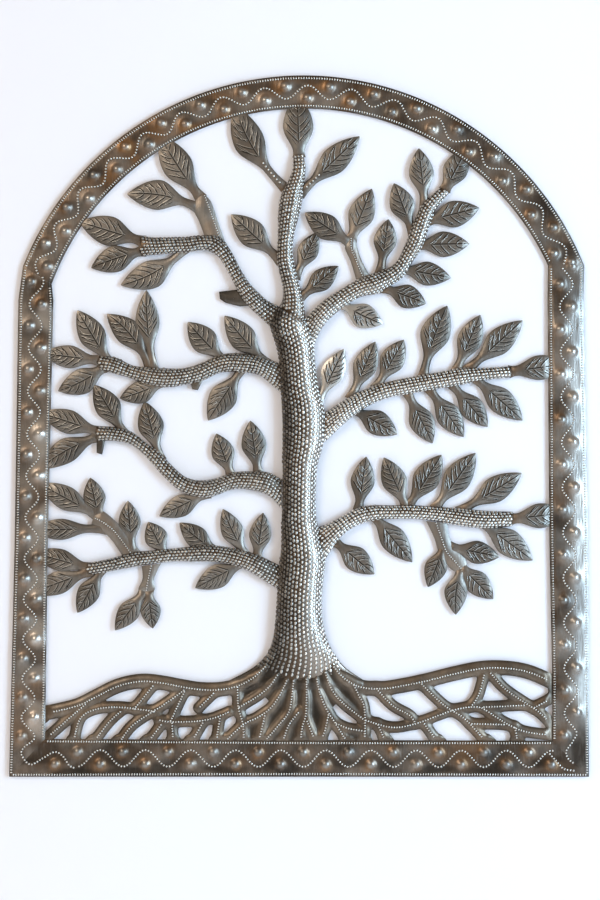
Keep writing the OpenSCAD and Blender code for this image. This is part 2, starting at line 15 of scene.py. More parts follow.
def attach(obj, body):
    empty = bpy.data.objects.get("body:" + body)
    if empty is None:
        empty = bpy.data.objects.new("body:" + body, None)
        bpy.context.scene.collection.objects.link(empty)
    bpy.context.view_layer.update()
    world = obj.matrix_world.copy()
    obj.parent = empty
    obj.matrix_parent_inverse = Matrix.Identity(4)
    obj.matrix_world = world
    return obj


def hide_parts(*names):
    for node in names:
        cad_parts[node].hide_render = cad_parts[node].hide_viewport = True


MM = 0.001
SHEET = 1.2
LIMB_ROUND = 0.8
TRUNK_DEPTH = 16
STEM_HALF = 4.5
ROOT_W = 12.6
ROOT_RISE = 2.8
TWIG_RISE = 2.2
FILLET = 1.2
GROUND_STEP = 1.25
RIDGE_W = 16
ARCH_C = (6, 434)
ARCH_R = 328
ARCH_INNER_R = 292
DOME_SWAY = 6.5
DOME_HIGH = 4.0
# Lines of punched dots: pitch, length and width
EDGE_DOTS = (2.8, 1.7, 2.9)
WAVE_DOTS = (3.3, 2.2, 2.6)
ROOT_DOTS = (2.9, 1.9, 2.5)
TWIG_DOTS = (2.7, 1.8, 2.2)
STEM_DOTS = (4.6, 2.5, 2.7)
DOT_HIGH = 0.9
DOT_WEAR = 0.7
# Rows of beads: pitch across and along, length and width
TRUNK_BEADS = (3.4, 4.9, 4.4, 3.0)
LIMB_BEADS = (3.05, 4.1, 3.6, 2.75)
MOST_ROWS = 18
BEAD_SEED = 7
LEAF_SEED = 7
# Places across a strip or a leaf, closer together at its edges
STATIONS = (-1, -0.88, -0.7, -0.35, 0, 0.35, 0.7, 0.88, 1)
OUTWARD = Vector((0, 1, 0))
SPECK = (0.02, 0.017, 0.015, 1)
SCRATCH = (0.42, 0.41, 0.40, 1)
# Near black for soot, also used to paint shade on dark flanks, creases and hollows
SOOT_AND_SHADE = (0.010, 0.008, 0.006, 1)
# Bright steel for real wear, also used to paint sheen on lit flanks, beads and leaves
BURNISHED_AND_SHEEN = (0.86, 0.85, 0.83, 1)
PLASTER = (0.80, 0.81, 0.89, 1)
PALE_FLOOR = (0.80, 0.80, 0.79, 1)
# The stage, in metres
STAGE_REACH = 4
WALL_BEHIND = 0.003
WALL_TOP = 3.5
FLOOR_UP = -0.35

# ---- the outline's own points ----

LEFT_INNER = [[-275, 41], [-272, 257], [-266, 518], [-267.9, 535.3]]
LEFT_OUTER = [[-314, 0], [-308, 257], [-304, 518], [-299, 554.7]]
RIGHT_INNER = [[276, 39], [276, 113], [273, 257], [271, 518], [271.5, 555.5]]
RIGHT_OUTER = [[316, 0], [315, 257], [310, 518], [310.8, 555.3]]

# Limbs: each row is one edge point and the point across from it, from the root outwards
TRUNK = [
    [-74, 105, 71, 105], [-50, 118, 52, 118], [-35, 132, 41, 131], [-28, 148, 32, 148],
    [-24, 175, 26, 175], [-22, 205, 26, 203], [-20, 234, 29, 234], [-18, 257, 24, 257],
    [-18, 279, 20, 279], [-17, 305, 19, 305], [-17, 339, 21, 339], [-17, 360, 27, 360],
    [-17, 382, 29, 382], [-18, 405, 28, 402], [-19, 425, 22, 420], [-20, 450, 18, 450],
    [-24, 469, 17, 469], [-30, 489, 12, 486], [-27, 502, 9, 494], [-21, 511, 8, 498]
]
CROWN = [
    [-21, 511, 8, 498], [-17, 519, 6, 515], [-17, 532, 2, 533], [-20, 546, -3, 550],
    [-23, 562, -6, 568], [-22, 584, -5, 586], [-22, 606, 0, 606], [-21, 624, 4, 622],
    [-17, 636, 5, 636], [-10, 649, 7, 649], [-6, 662, 8, 662], [-5, 675, 6, 675]
]
UPPER_LEFT = [
    [-21, 511, -30, 489], [-33, 517, -41, 499], [-45, 528, -52, 509], [-56, 540, -63, 523],
    [-65, 556, -75, 546], [-74, 573, -86, 564], [-86, 587, -97, 571], [-104, 588, -107, 572],
    [-122, 586, -120, 570], [-137, 586, -137, 569], [-156, 586, -156, 567], [-170, 588, -170, 566]
]
UPPER_RIGHT = [
    [8, 498, 17, 469], [21, 512, 25, 486], [34, 522, 37, 500], [47, 530, 53, 513],
    [62, 539, 70, 522], [78, 546, 87, 525], [94, 551, 101, 534], [106, 559, 114, 543],
    [113, 571, 126, 562], [119, 586, 135, 575], [125, 602, 142, 596], [133, 619, 148, 613],
    [145, 632, 156, 625], [155, 640, 164, 634]
]
LEFT_HIGH = [
    [-20, 449, -19, 418], [-33, 454, -31, 428], [-46, 458, -44, 437], [-63, 460, -59, 439],
    [-78, 460, -74, 440], [-93, 455, -88, 438], [-107, 449, -102, 431], [-124, 444, -122, 426],
    [-145, 444, -143, 423], [-163, 445, -162, 426], [-180, 447, -182, 433],
    [-199, 456, -203, 439], [-216, 457, -217, 443]
]
LEFT_MIDDLE = [
    [-18, 323, -18, 292], [-33, 331, -33, 306], [-50, 332, -54, 312], [-69, 331, -72, 312],
    [-96, 323, -100, 303], [-119, 324, -128, 311], [-137, 338, -147, 327],
    [-151, 353, -161, 343], [-166, 363, -175, 357], [-181, 375, -188, 363],
    [-199, 380, -203, 365], [-219, 381, -218, 365]
]
LEFT_LOW = [
    [-21, 230, -22, 204], [-33, 236, -35, 212], [-52, 244, -55, 224], [-74, 249, -78, 232],
    [-98, 252, -101, 234], [-118, 250, -118, 234], [-137, 248, -137, 234],
    [-159, 246, -161, 231], [-179, 244, -181, 228], [-205, 237, -205, 223],
    [-229, 232, -228, 220]
]
RIGHT_MIDDLE = [
    [30, 396, 28, 363], [46, 407, 44, 378], [60, 415, 59, 391], [75, 422, 77, 403],
    [94, 428, 98, 412], [115, 433, 120, 416], [148, 439, 148, 421], [175, 444, 178, 426],
    [200, 444, 200, 431], [231, 446, 231, 434]
]
RIGHT_LOW = [
    [21, 271, 29, 235], [34, 276, 38, 250], [47, 283, 49, 263], [64, 292, 64, 273],
    [81, 295, 83, 279], [100, 295, 102, 280], [127, 295, 127, 280], [155, 293, 155, 277],
    [182, 291, 180, 272], [205, 289, 203, 270], [233, 288, 231, 272]
]
UPPER_LEFT_TWIG = [
    [-102, 588, -79, 580], [-108, 604, -87, 603], [-114, 617, -93, 621], [-112, 629, -100, 635]
]
UPPER_RIGHT_TWIG = [
    [63, 540, 77, 546], [57, 560, 69, 561], [51, 574, 64, 576], [52, 586, 63, 587]
]
LEFT_LOW_TWIG = [
    [-189, 237, -168, 240], [-205, 260, -190, 269], [-217, 268, -208, 286], [-226, 271, -219, 292]
]
LEFT_LOW_HANGING_TWIG = [
    [-170, 229, -149, 232], [-169, 216, -156, 217], [-172, 208, -156, 209], [-177, 200, -153, 201]
]
RIGHT_LOW_TWIG = [
    [139, 278, 162, 275], [148, 259, 164, 262], [153, 243, 170, 248], [163, 229, 179, 240],
    [173, 218, 187, 229]
]
# Leaves: joint, tip, width, the stem's share of the length, then the bend and the painted sheen of
# those that are bent or bright
LEAVES = {
    "crown_leaves": [
        [-10, 636, -70, 731, 34, 0.27, 8], [1, 673, -1, 742, 33, 0],
        [-18, 560, -73, 611, 30, 0.2], [1, 633, 67, 696, 29, 0.2],
        [-4, 542, 21, 592, 23, 0.2], [-1, 518, 44, 555, 24, 0.2]
    ],
    "upper_left_leaves": [
        [-105, 628, -151, 698, 33, 0.1, 2], [-107, 617, -186, 633, 33, 0.2, -6],
        [-167, 581, -238, 603, 32, 0.1], [-167, 572, -225, 553, 29, 0.1, -1]
    ],
    "upper_left_hanging_leaf": [[-122, 576, -193, 534, 31, 0.2, 7]],
    "upper_right_inner_leaves": [
        [138, 617, 131, 683, 27, 0.2], [126, 588, 104, 645, 27, 0.2],
        [89, 545, 98, 606, 25, 0.25]
    ],
    "upper_right_twig_leaves": [[57, 583, 80, 639, 28, 0.05], [58, 579, 7, 613, 28, 0.1]],
    "upper_right_outer_leaves": [
        [159, 637, 184, 684, 27, 0], [140, 604, 197, 618, 29, 0.05],
        [129, 578, 186, 579, 28, 0.05], [110, 552, 166, 542, 26, 0.1],
        [91, 532, 139, 514, 26, 0.15], [45, 516, 92, 492, 27, 0.15, -2, 0.35]
    ],
    "trunk_leaf": [[20, 404, 50, 465, 25, 0.2, 0, 0.4]],
    "left_high_upper_leaves": [
        [-160, 440, -208, 503, 29, 0.25, -7], [-157, 440, -165, 529, 26, 0.25, 2],
        [-78, 450, -120, 494, 29, 0.15, 1], [-34, 448, -80, 501, 29, 0.15, 1]
    ],
    "left_high_tip_leaves": [
        [-205, 449, -240, 507, 29, 0.1], [-214, 452, -279, 460, 25, 0.1],
        [-210, 446, -261, 419, 28, 0.05, 3]
    ],
    "left_high_lower_leaves": [
        [-143, 431, -194, 411, 25, 0.15, 2], [-58, 448, -98, 387, 30, 0.2]
    ],
    "left_middle_upper_leaves": [
        [-189, 371, -222, 426, 28, 0.15, -1], [-150, 344, -167, 408, 28, 0.2],
        [-72, 325, -89, 373, 25, 0.15], [-43, 327, -52, 387, 27, 0.15]
    ],
    "left_middle_tip_leaves": [
        [-214, 374, -281, 396, 26, 0.1], [-215, 370, -281, 334, 27, 0.1, -4]
    ],
    "left_middle_lower_leaf": [[-97, 309, -151, 283, 24, 0.15]],
    "left_low_upper_leaves": [
        [-180, 240, -185, 300, 24, 0.25], [-144, 240, -163, 277, 25, 0.1],
        [-88, 244, -129, 276, 24, 0.1, 1], [-56, 238, -82, 291, 24, 0.15, 1],
        [-45, 236, -38, 287, 24, 0.1]
    ],
    "left_low_twig_leaves": [
        [-218, 284, -282, 319, 26, 0.1], [-217, 283, -226, 325, 24, 0],
        [-208, 270, -292, 268, 23, 0.22]
    ],
    "left_low_tip_leaves": [
        [-224, 226, -290, 244, 24, 0.1], [-225, 224, -292, 199, 25, 0.1],
        [-212, 228, -240, 178, 24, 0.15]
    ],
    "left_low_hanging_leaves": [
        [-53, 236, -112, 205, 26, 0.2], [-166, 203, -199, 159, 23, 0.12],
        [-163, 203, -158, 161, 22, 0.1]
    ],
    "right_middle_upper_leaves": [
        [57, 410, 84, 473, 26, 0.2], [84, 421, 115, 475, 27, 0.2],
        [135, 430, 162, 512, 32, 0.25, 3], [170, 437, 198, 502, 27, 0.2],
        [182, 440, 244, 496, 28, 0.2], [229, 440, 296, 449, 27, 0.04]
    ],
    "right_middle_lower_leaves": [
        [57, 401, 108, 372, 27, 0.15], [117, 421, 146, 362, 27, 0.2],
        [140, 425, 180, 369, 27, 0.2], [164, 430, 206, 380, 26, 0.2],
        [189, 436, 244, 387, 28, 0.15]
    ],
    "right_low_upper_leaves": [
        [65, 287, 74, 348, 26, 0.15], [119, 290, 93, 347, 27, 0.15],
        [118, 291, 156, 350, 29, 0.15], [147, 289, 193, 352, 30, 0.15],
        [174, 287, 243, 330, 28, 0.2], [230, 280, 295, 287, 27, 0.05]
    ],
    "right_low_lower_leaves": [
        [37, 258, 83, 220, 27, 0.15], [80, 286, 124, 233, 28, 0.1],
        [191, 282, 255, 235, 29, 0.2]
    ],
    "right_low_twig_leaves": [
        [159, 251, 141, 206, 24, 0.1], [178, 228, 171, 176, 25, 0.1, -3],
        [176, 229, 212, 193, 26, 0.05], [163, 250, 219, 239, 25, 0.15]
    ]
}
# Joints of the leaves with a line of dots on their stem
DOTTED_JOINTS = [[-10, 636], [1, 633]]
STUBS = [
    [[-86, 527], [-60, 530], [-50, 512], [-63, 511], [-79, 515], [-85, 519]],
    [[-118, 430], [-115, 421], [-109, 420], [-102, 434]],
    [[-219, 368], [-219, 352], [-213, 350], [-209, 368]]
]
LEFT_RIDGE = [
    [-35, 121], [-49, 108], [-66, 99], [-85, 95], [-106, 95], [-126, 98], [-147, 102],
    [-170, 104], [-195, 99], [-220, 87], [-241, 77], [-280, 68]
]
RIGHT_RIDGE = [
    [38, 121], [46, 111], [58, 102], [71, 97], [90, 96], [107, 98], [137, 104], [169, 112],
    [200, 118], [228, 118], [253, 113], [282, 100]
]
LEFT_ROOTS = [
    [[-157, 100], [-178, 74]],
    [[-123, 95], [-147, 78], [-179, 57], [-194, 38]],
    [[-123, 94], [-139, 60]],
    [[-91, 92], [-108, 75]],
    [[-155, 71], [-175, 74], [-199, 76], [-222, 73], [-237, 63], [-244, 38]],
    [[-230, 80], [-252, 61], [-278, 38]],
    [[-192, 72], [-206, 59], [-222, 38]],
    [[-75, 71], [-89, 65], [-108, 61], [-137, 60], [-151, 62]],
    [[-148, 58], [-163, 38]],
    [[-137, 60], [-136, 38]],
    [[-103, 60], [-116, 38]],
    [[-85, 65], [-89, 38]]
]
FAN_ROOTS = {
    "left": [[-66, 99], [-65, 76], [-60, 57], [-59, 38]],
    "a": [[-22, 112], [-31, 99], [-44, 88], [-64, 76]],
    "b": [[-12, 106], [-20, 89], [-30, 75], [-44, 65], [-60, 57], [-80, 38]],
    "b_branch": [[-36, 68], [-43, 38]],
    "c": [[-5, 106], [-7, 87], [-10, 71], [-20, 58], [-37, 38]],
    "c_branch": [[1, 71], [-5, 64], [-11, 55], [-17, 38]],
    "d": [[9, 108], [9, 85], [8, 67], [4, 53], [3, 38]],
    "d_branch": [[9, 62], [19, 38]],
    "e": [[20, 108], [24, 89], [31, 73], [40, 59], [53, 38]],
    "e_branch": [[33, 69], [29, 51], [24, 38]],
    "f": [[29, 115], [37, 94], [50, 79], [72, 62]],
    "f_branch": [[40, 59], [54, 53], [72, 50]],
    "right": [[60, 101], [65, 90], [72, 74], [72, 38]]
}
RIGHT_ROOTS = [
    [[84, 97], [102, 78], [121, 67], [127, 58]],
    [[72, 62], [102, 54], [127, 58], [152, 67], [173, 74], [196, 76], [212, 67], [228, 57],
        [248, 49], [280, 45]],
    [[133, 102], [157, 79], [181, 63], [204, 38]],
    [[202, 112], [196, 90], [188, 77]],
    [[208, 114], [223, 97], [244, 82], [262, 70], [280, 52]],
    [[200, 76], [246, 78]],
    [[255, 75], [280, 88]],
    [[136, 59], [151, 38]],
    [[187, 58], [226, 57]],
    [[235, 55], [238, 38]],
    [[86, 58], [95, 38]]
]
# Closed hollows of the fan: each spans from one line to the other, some of them whole roots
FAN_HOLLOWS = [
    ([[-35, 119], [-49, 107], [-66, 99]], [[-22, 112], [-33, 97], [-64, 76]]),
    ([[-22, 112], [-31, 99], [-40, 91]], [[-12, 106], [-20, 89], [-28, 78]]),
    ([[-12, 106], [-20, 89], [-30, 75], [-44, 65], [-59, 56], [-59, 38]],
        [[-5, 106], [-7, 87], [-10, 71], [-20, 58], [-33, 43], [-37, 38]]),
    ([[-60, 57], [-72, 47], [-80, 38]], [[-60, 57], [-60, 47], [-59, 38]]),
    (FAN_ROOTS["c"], FAN_ROOTS["d"]),
    (FAN_ROOTS["d"], [[20, 108], [24, 89], [31, 73], [29, 51], [24, 38]]),
    ([[20, 108], [24, 89], [33, 70]], [[29, 115], [37, 94], [45, 84]]),
    (FAN_ROOTS["f"], [[38, 120], [52, 105], [65, 90], [72, 68]]),
    ([[40, 59], [54, 53], [72, 50]], [[50, 43], [56, 40], [72, 38]])
]
# How the wavy dot lines end at the border's lower corners
CORNER_WAVES = [
    [
        [-288, 49], [-287, 41], [-298, 32], [-300.5, 24], [-291, 13.5], [-278, 20], [-265, 27],
        [-256, 23], [-248, 12], [-241, 9.7]
    ],
    [[272, 26], [280, 17.5], [288, 9], [299, 7]],
    [[303, 47], [297, 37], [291, 28], [293, 20], [299, 15]]
]

# ---- curves ----


def between(a, b, c, d, u):
    """Catmull-Rom point between b and c, for points or rows of any length."""
    return [
        0.5 * (2 * q + (r - p) * u + (2 * p - 5 * q + 4 * r - s) * u * u
               + (3 * q - p - 3 * r + s) * u * u * u)
        for p, q, r, s in zip(a, b, c, d)
    ]


def smooth(rows, steps):
    """The same rows with steps - 1 more in each interval."""
    last = len(rows) - 1
    fine = []
    for i in range(last):
        around = (rows[max(i - 1, 0)], rows[i], rows[i + 1], rows[min(i + 2, last)])
        fine += [between(*around, s / steps) for s in range(steps)]
    return fine + [rows[last]]


def mix(a, b, share):
    return [p + (q - p) * share for p, q in zip(a, b)]


def ease(t):
    t = min(max(t, 0.0), 1.0)
    return t * t * (3 - 2 * t)


def lengths(line):
    """How far along a line each of its points is."""
    found = [0.0]
    for a, b in zip(line, line[1:]):
        found.append(found[-1] + math.dist(a, b))
    return found


def resample(line, count):
    """count points evenly spaced along a line."""
    run = lengths(line)
    found = []
    k = 0
    for i in range(count):
        want = run[-1] * i / (count - 1)
        while k < len(run) - 2 and run[k + 1] < want:
            k += 1
        found.append(mix(line[k], line[k + 1], (want - run[k]) / (run[k + 1] - run[k])))
    return found


def left_of(a, b):
    """Unit vector to the left of the way from a to b, both [across, up]."""
    size = math.dist(a, b)
    return [(a[1] - b[1]) / size, (b[0] - a[0]) / size]


def sides_of(line):
    last = len(line) - 1
    return [left_of(line[max(k - 1, 0)], line[min(k + 1, last)]) for k in range(last + 1)]


def room(x, z):
    """How far a point is inside the border's opening, negative under the border."""
    side = min(x - LEFT_INNER[1][0] - 3 * ease(z / 500), RIGHT_INNER[2][0] - x, z - 40)
    if z < 545:
        return side
    return min(side, ARCH_INNER_R - math.hypot(x - ARCH_C[0], z - ARCH_C[1]))


# ---- skins ----


class Skin:
    """The mesh of one piece, with how bright (real wear and painted sheen), how dark (soot and
    painted shade) and how rusty the steel is, 0 to 1.
    """

    def __init__(self):
        self.points = []
        self.faces = []
        self.wear_and_sheen = []
        self.soot_and_shade = []
        self.rust = []

    def add(self, x, out, z, wear_and_sheen=0.0, soot_and_shade=0.0, rust=0.0):
        self.points.append((x, out, z))
        self.wear_and_sheen.append(wear_and_sheen)
        self.soot_and_shade.append(soot_and_shade)
        self.rust.append(rust)
        return len(self.points) - 1

    def grid(self, rows, front=True):
        """Quads between rows of spots, turned to face the front or the back."""
        keys = [[self.add(*spot) for spot in row] for row in rows]
        quads = []
        area = 0.0
        for near, far in zip(keys, keys[1:]):
            for k in range(len(near) - 1):
                quad = (near[k], near[k + 1], far[k + 1], far[k])
                a, b, c, d = (self.points[i] for i in quad)
                area += (c[0] - a[0]) * (d[2] - b[2]) - (d[0] - b[0]) * (c[2] - a[2])
                quads.append(quad)
        if (area > 0) != front:
            quads = [quad[::-1] for quad in quads]
        self.faces += quads

    def rim(self, front, back):
        """A dark cut edge between the borders of two grids of the same size."""
        front_ring = around(front)
        back_ring = around(back)
        area = sum(
            p[0] * q[2] - q[0] * p[2] for p, q in zip(front_ring, front_ring[1:] + front_ring[:1])
        )
        if area < 0:
            front_ring = front_ring[::-1]
            back_ring = back_ring[::-1]
        high = [self.add(*spot[:3], 0.0, 0.9) for spot in front_ring]
        low = [self.add(*spot[:3], 0.0, 0.9) for spot in back_ring]
        count = len(high)
        for k in range(count):
            after = (k + 1) % count
            self.faces.append((high[k], low[k], low[after], high[after]))

    def shell(self, front, back):
        self.grid(front)
        self.grid(back, front=False)
        self.rim(front, back)

    def plate(self, front):
        """A front skin, the same skin a sheet behind it, and the cut edge round them."""
        back = [[(x, max(out - SHEET, 0.0), z, 0.14) for x, out, z, *_ in row] for row in front]
        self.shell(front, back)

    def bead(self, at, along, normal, long, wide, high, wear_and_sheen):
        """A small burnished bead on a skin, long in the direction along."""
        across = along.cross(normal).normalized()
        rings = ((1.2, -0.12, 0.0, 1.0), (0.98, 0.25, 0.2 * wear_and_sheen, 0.7), (0.8, 0.68, 0.8 * wear_and_sheen, 0.0),
                 (0.45, 0.94, wear_and_sheen, 0.0))
        count = 8
        keys = []
        for share, rise, shine, dark in rings:
            ring = []
            for k in range(count):
                turn = 2 * math.pi * k / count
                spot = at + along * (long / 2 * share * math.cos(turn))
                spot += across * (wide / 2 * share * math.sin(turn)) + normal * (high * rise)
                ring.append(self.add(*spot, shine, dark))
            keys.append(ring)
        top = self.add(*(at + normal * high), wear_and_sheen, 0.0)
        for low, up in zip(keys, keys[1:]):
            for k in range(count):
                after = (k + 1) % count
                self.faces.append((low[k], up[k], up[after], low[after]))
        self.faces += [(keys[-1][k], top, keys[-1][(k + 1) % count]) for k in range(count)]

    def cut_line(self, line, wide, burr):
        """A chased line on a skin, with the burr it threw up on one side of it."""
        flat = [(x, z) for x, _, z in line]
        profile = ((-0.6, 0.02, 0.0, 0.7), (-0.3, 0.12, 0.0, 1.0), (0.4, 0.12, 0.0, 1.0),
                   (0.75, 0.45 * burr, 0.9 * burr, 1 - burr), (1.2, 0.02, 0.3 * burr, 0.0))
        rows = []
        last = len(line) - 1
        for k, ((x, out, z), side) in enumerate(zip(line, sides_of(flat))):
            thin = 0.35 if k in (0, last) else 1.0
            rows.append([
                (x - side[0] * share * wide * thin, out + rise, z - side[1] * share * wide * thin,
                 shine, dark)
                for share, rise, shine, dark in profile
            ])
        self.grid(rows)


def around(rows):
    """The border of a grid of spots, in order."""
    right = [row[-1] for row in rows[1:-1]]
    left = [row[0] for row in rows[1:-1]]
    return rows[0] + right + rows[-1][::-1] + left[::-1]


def spaced(line, pitch, phase):
    """Points a pitch apart along a line of (across, out, up), each with its direction."""
    run = lengths(line)
    count = int(run[-1] / pitch - phase)
    found = []
    k = 0
    for i in range(count + 1):
        want = (i + phase) * pitch
        while k < len(run) - 2 and run[k + 1] < want:
            k += 1
        a = Vector(line[k])
        b = Vector(line[k + 1])
        step = b - a
        if step.length < 1e-6 or want > run[-1]:
            continue
        found.append((a + step * ((want - run[k]) / step.length), step.normalized()))
    return found


def dot_line(skin, line, pitch, long, wide):
    """A line of punched dots along a line of (across, out, up)."""
    for at, along in spaced(line, pitch, 0.5):
        skin.bead(at, along, OUTWARD, long, wide, DOT_HIGH, DOT_WEAR)


# ---- materials ----


class Material:
    """A material with short ways to add nodes to it and to join them."""

    def __init__(self, name):
        self.data = bpy.data.materials.new(name)
        self.data.use_nodes = True
        self.tree = self.data.node_tree
        self.shader = self.tree.nodes["Principled BSDF"]

    def fill(self, node, inputs):
        """Set a node's inputs, each to a number, a colour or another node's output."""
        for key, value in inputs.items():
            if isinstance(value, bpy.types.NodeSocket):
                self.tree.links.new(value, node.inputs[key])
            else:
                node.inputs[key].default_value = value

    def add(self, kind, inputs, **options):
        node = self.tree.nodes.new("ShaderNode" + kind)
        for key, value in options.items():
            setattr(node, key, value)
        self.fill(node, inputs)
        return node.outputs

    def patches(self, place, scale, detail):
        inputs = {"Vector": place, "Scale": scale, "Detail": detail}
        return self.add("TexNoise", inputs)["Fac"]

    def ranged(self, value, low, high, to_low, to_high):
        inputs = {"Value": value, "From Min": low, "From Max": high, "To Min": to_low,
                  "To Max": to_high}
        return self.add("MapRange", inputs)["Result"]

    def blended(self, share, first, second):
        return self.add("Mix", {0: share, 6: first, 7: second}, data_type="RGBA")[2]

    def layer(self, title):
        """What the mesh says of the steel at each point."""
        return self.add("Attribute", {}, attribute_name=title)["Fac"]

    def maths(self, operation, first, second):
        return self.add("Math", {0: first, 1: second}, operation=operation)[0]


def steel(name, dark, brown, rust, rust_share, rough):
    """Patinated sheet steel under a thin lacquer, burnished by wear and darkened by soot; its wear
    layer also paints sheen and its soot layer also paints shade.
    """
    made = Material(name)
    place = made.add("TexCoord", {})["Object"]
    along = made.add("Mapping", {"Vector": place, "Scale": (1, 1, 0.12)})["Vector"]
    specks = made.patches(place, 130, 6)
    scratches = made.patches(along, 520, 3)
    wear_and_sheen = made.layer("wear_and_sheen")
    rust_patches = made.patches(place, 9, 6)
    tarnish = made.ranged(made.patches(place, 45, 4), 0.35, 0.6, 0, 1)
    colour = made.blended(made.ranged(made.patches(place, 24, 5), 0.40, 0.62, 0, 1), dark, brown)
    for share, over in (
        (made.ranged(rust_patches, 0.62 - rust_share, 0.85 - rust_share, 0, 0.85), rust),
        (made.maths("MULTIPLY", made.layer("rust"), tarnish), rust),
        (made.ranged(specks, 0.35, 0.75, 0, 0.35), SPECK),
        (made.ranged(scratches, 0.55, 0.8, 0, 0.14), SCRATCH),
        (made.ranged(made.layer("soot_and_shade"), 0, 1, 0, 0.9), SOOT_AND_SHADE),
        (wear_and_sheen, BURNISHED_AND_SHEEN),
    ):
        colour = made.blended(share, colour, over)
    mottled = made.ranged(specks, 0.2, 0.8, rough - 0.08, rough + 0.12)
    height = made.maths("ADD", specks, scratches)
    bump = made.add("Bump", {"Strength": 0.35, "Distance": 0.0006, "Height": height})
    made.fill(made.shader, {
        "Base Color": colour,
        "Roughness": made.maths("SUBTRACT", mottled, made.ranged(wear_and_sheen, 0, 1, 0, 0.14)),
        "Metallic": 0.92,
        "Coat Weight": 0.25,
        "Coat Roughness": 0.22,
        "Normal": bump["Normal"],
    })
    return made.data


def put(name, data):
    """A new object in the scene."""
    thing = bpy.data.objects.new(name, data)
    bpy.context.scene.collection.objects.link(thing)
    return thing


def make_piece(node, skin, material):
    """The finer piece that stands in for a node of the part."""
    name = node + "_look"
    mesh = bpy.data.meshes.new(name)
    mesh.from_pydata([(x * MM, -out * MM, z * MM) for x, out, z in skin.points], [], skin.faces)
    for title, values in (("wear_and_sheen", skin.wear_and_sheen), ("soot_and_shade", skin.soot_and_shade), ("rust", skin.rust)):
        mesh.attributes.new(title, "FLOAT", "POINT").data.foreach_set("value", values)
    mesh.polygons.foreach_set("use_smooth", [True] * len(mesh.polygons))
    mesh.materials.append(material)
    piece = put(name, mesh)
    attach(piece, "root")
    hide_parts(node)


# ---- border ----


def arch_edge(radius, from_turn, to_turn):
    return [
        [ARCH_C[0] + radius * math.cos(math.radians(turn)),
         ARCH_C[1] + radius * math.sin(math.radians(turn))]
        for turn in (from_turn + (to_turn - from_turn) * k / 120 for k in range(121))
    ]


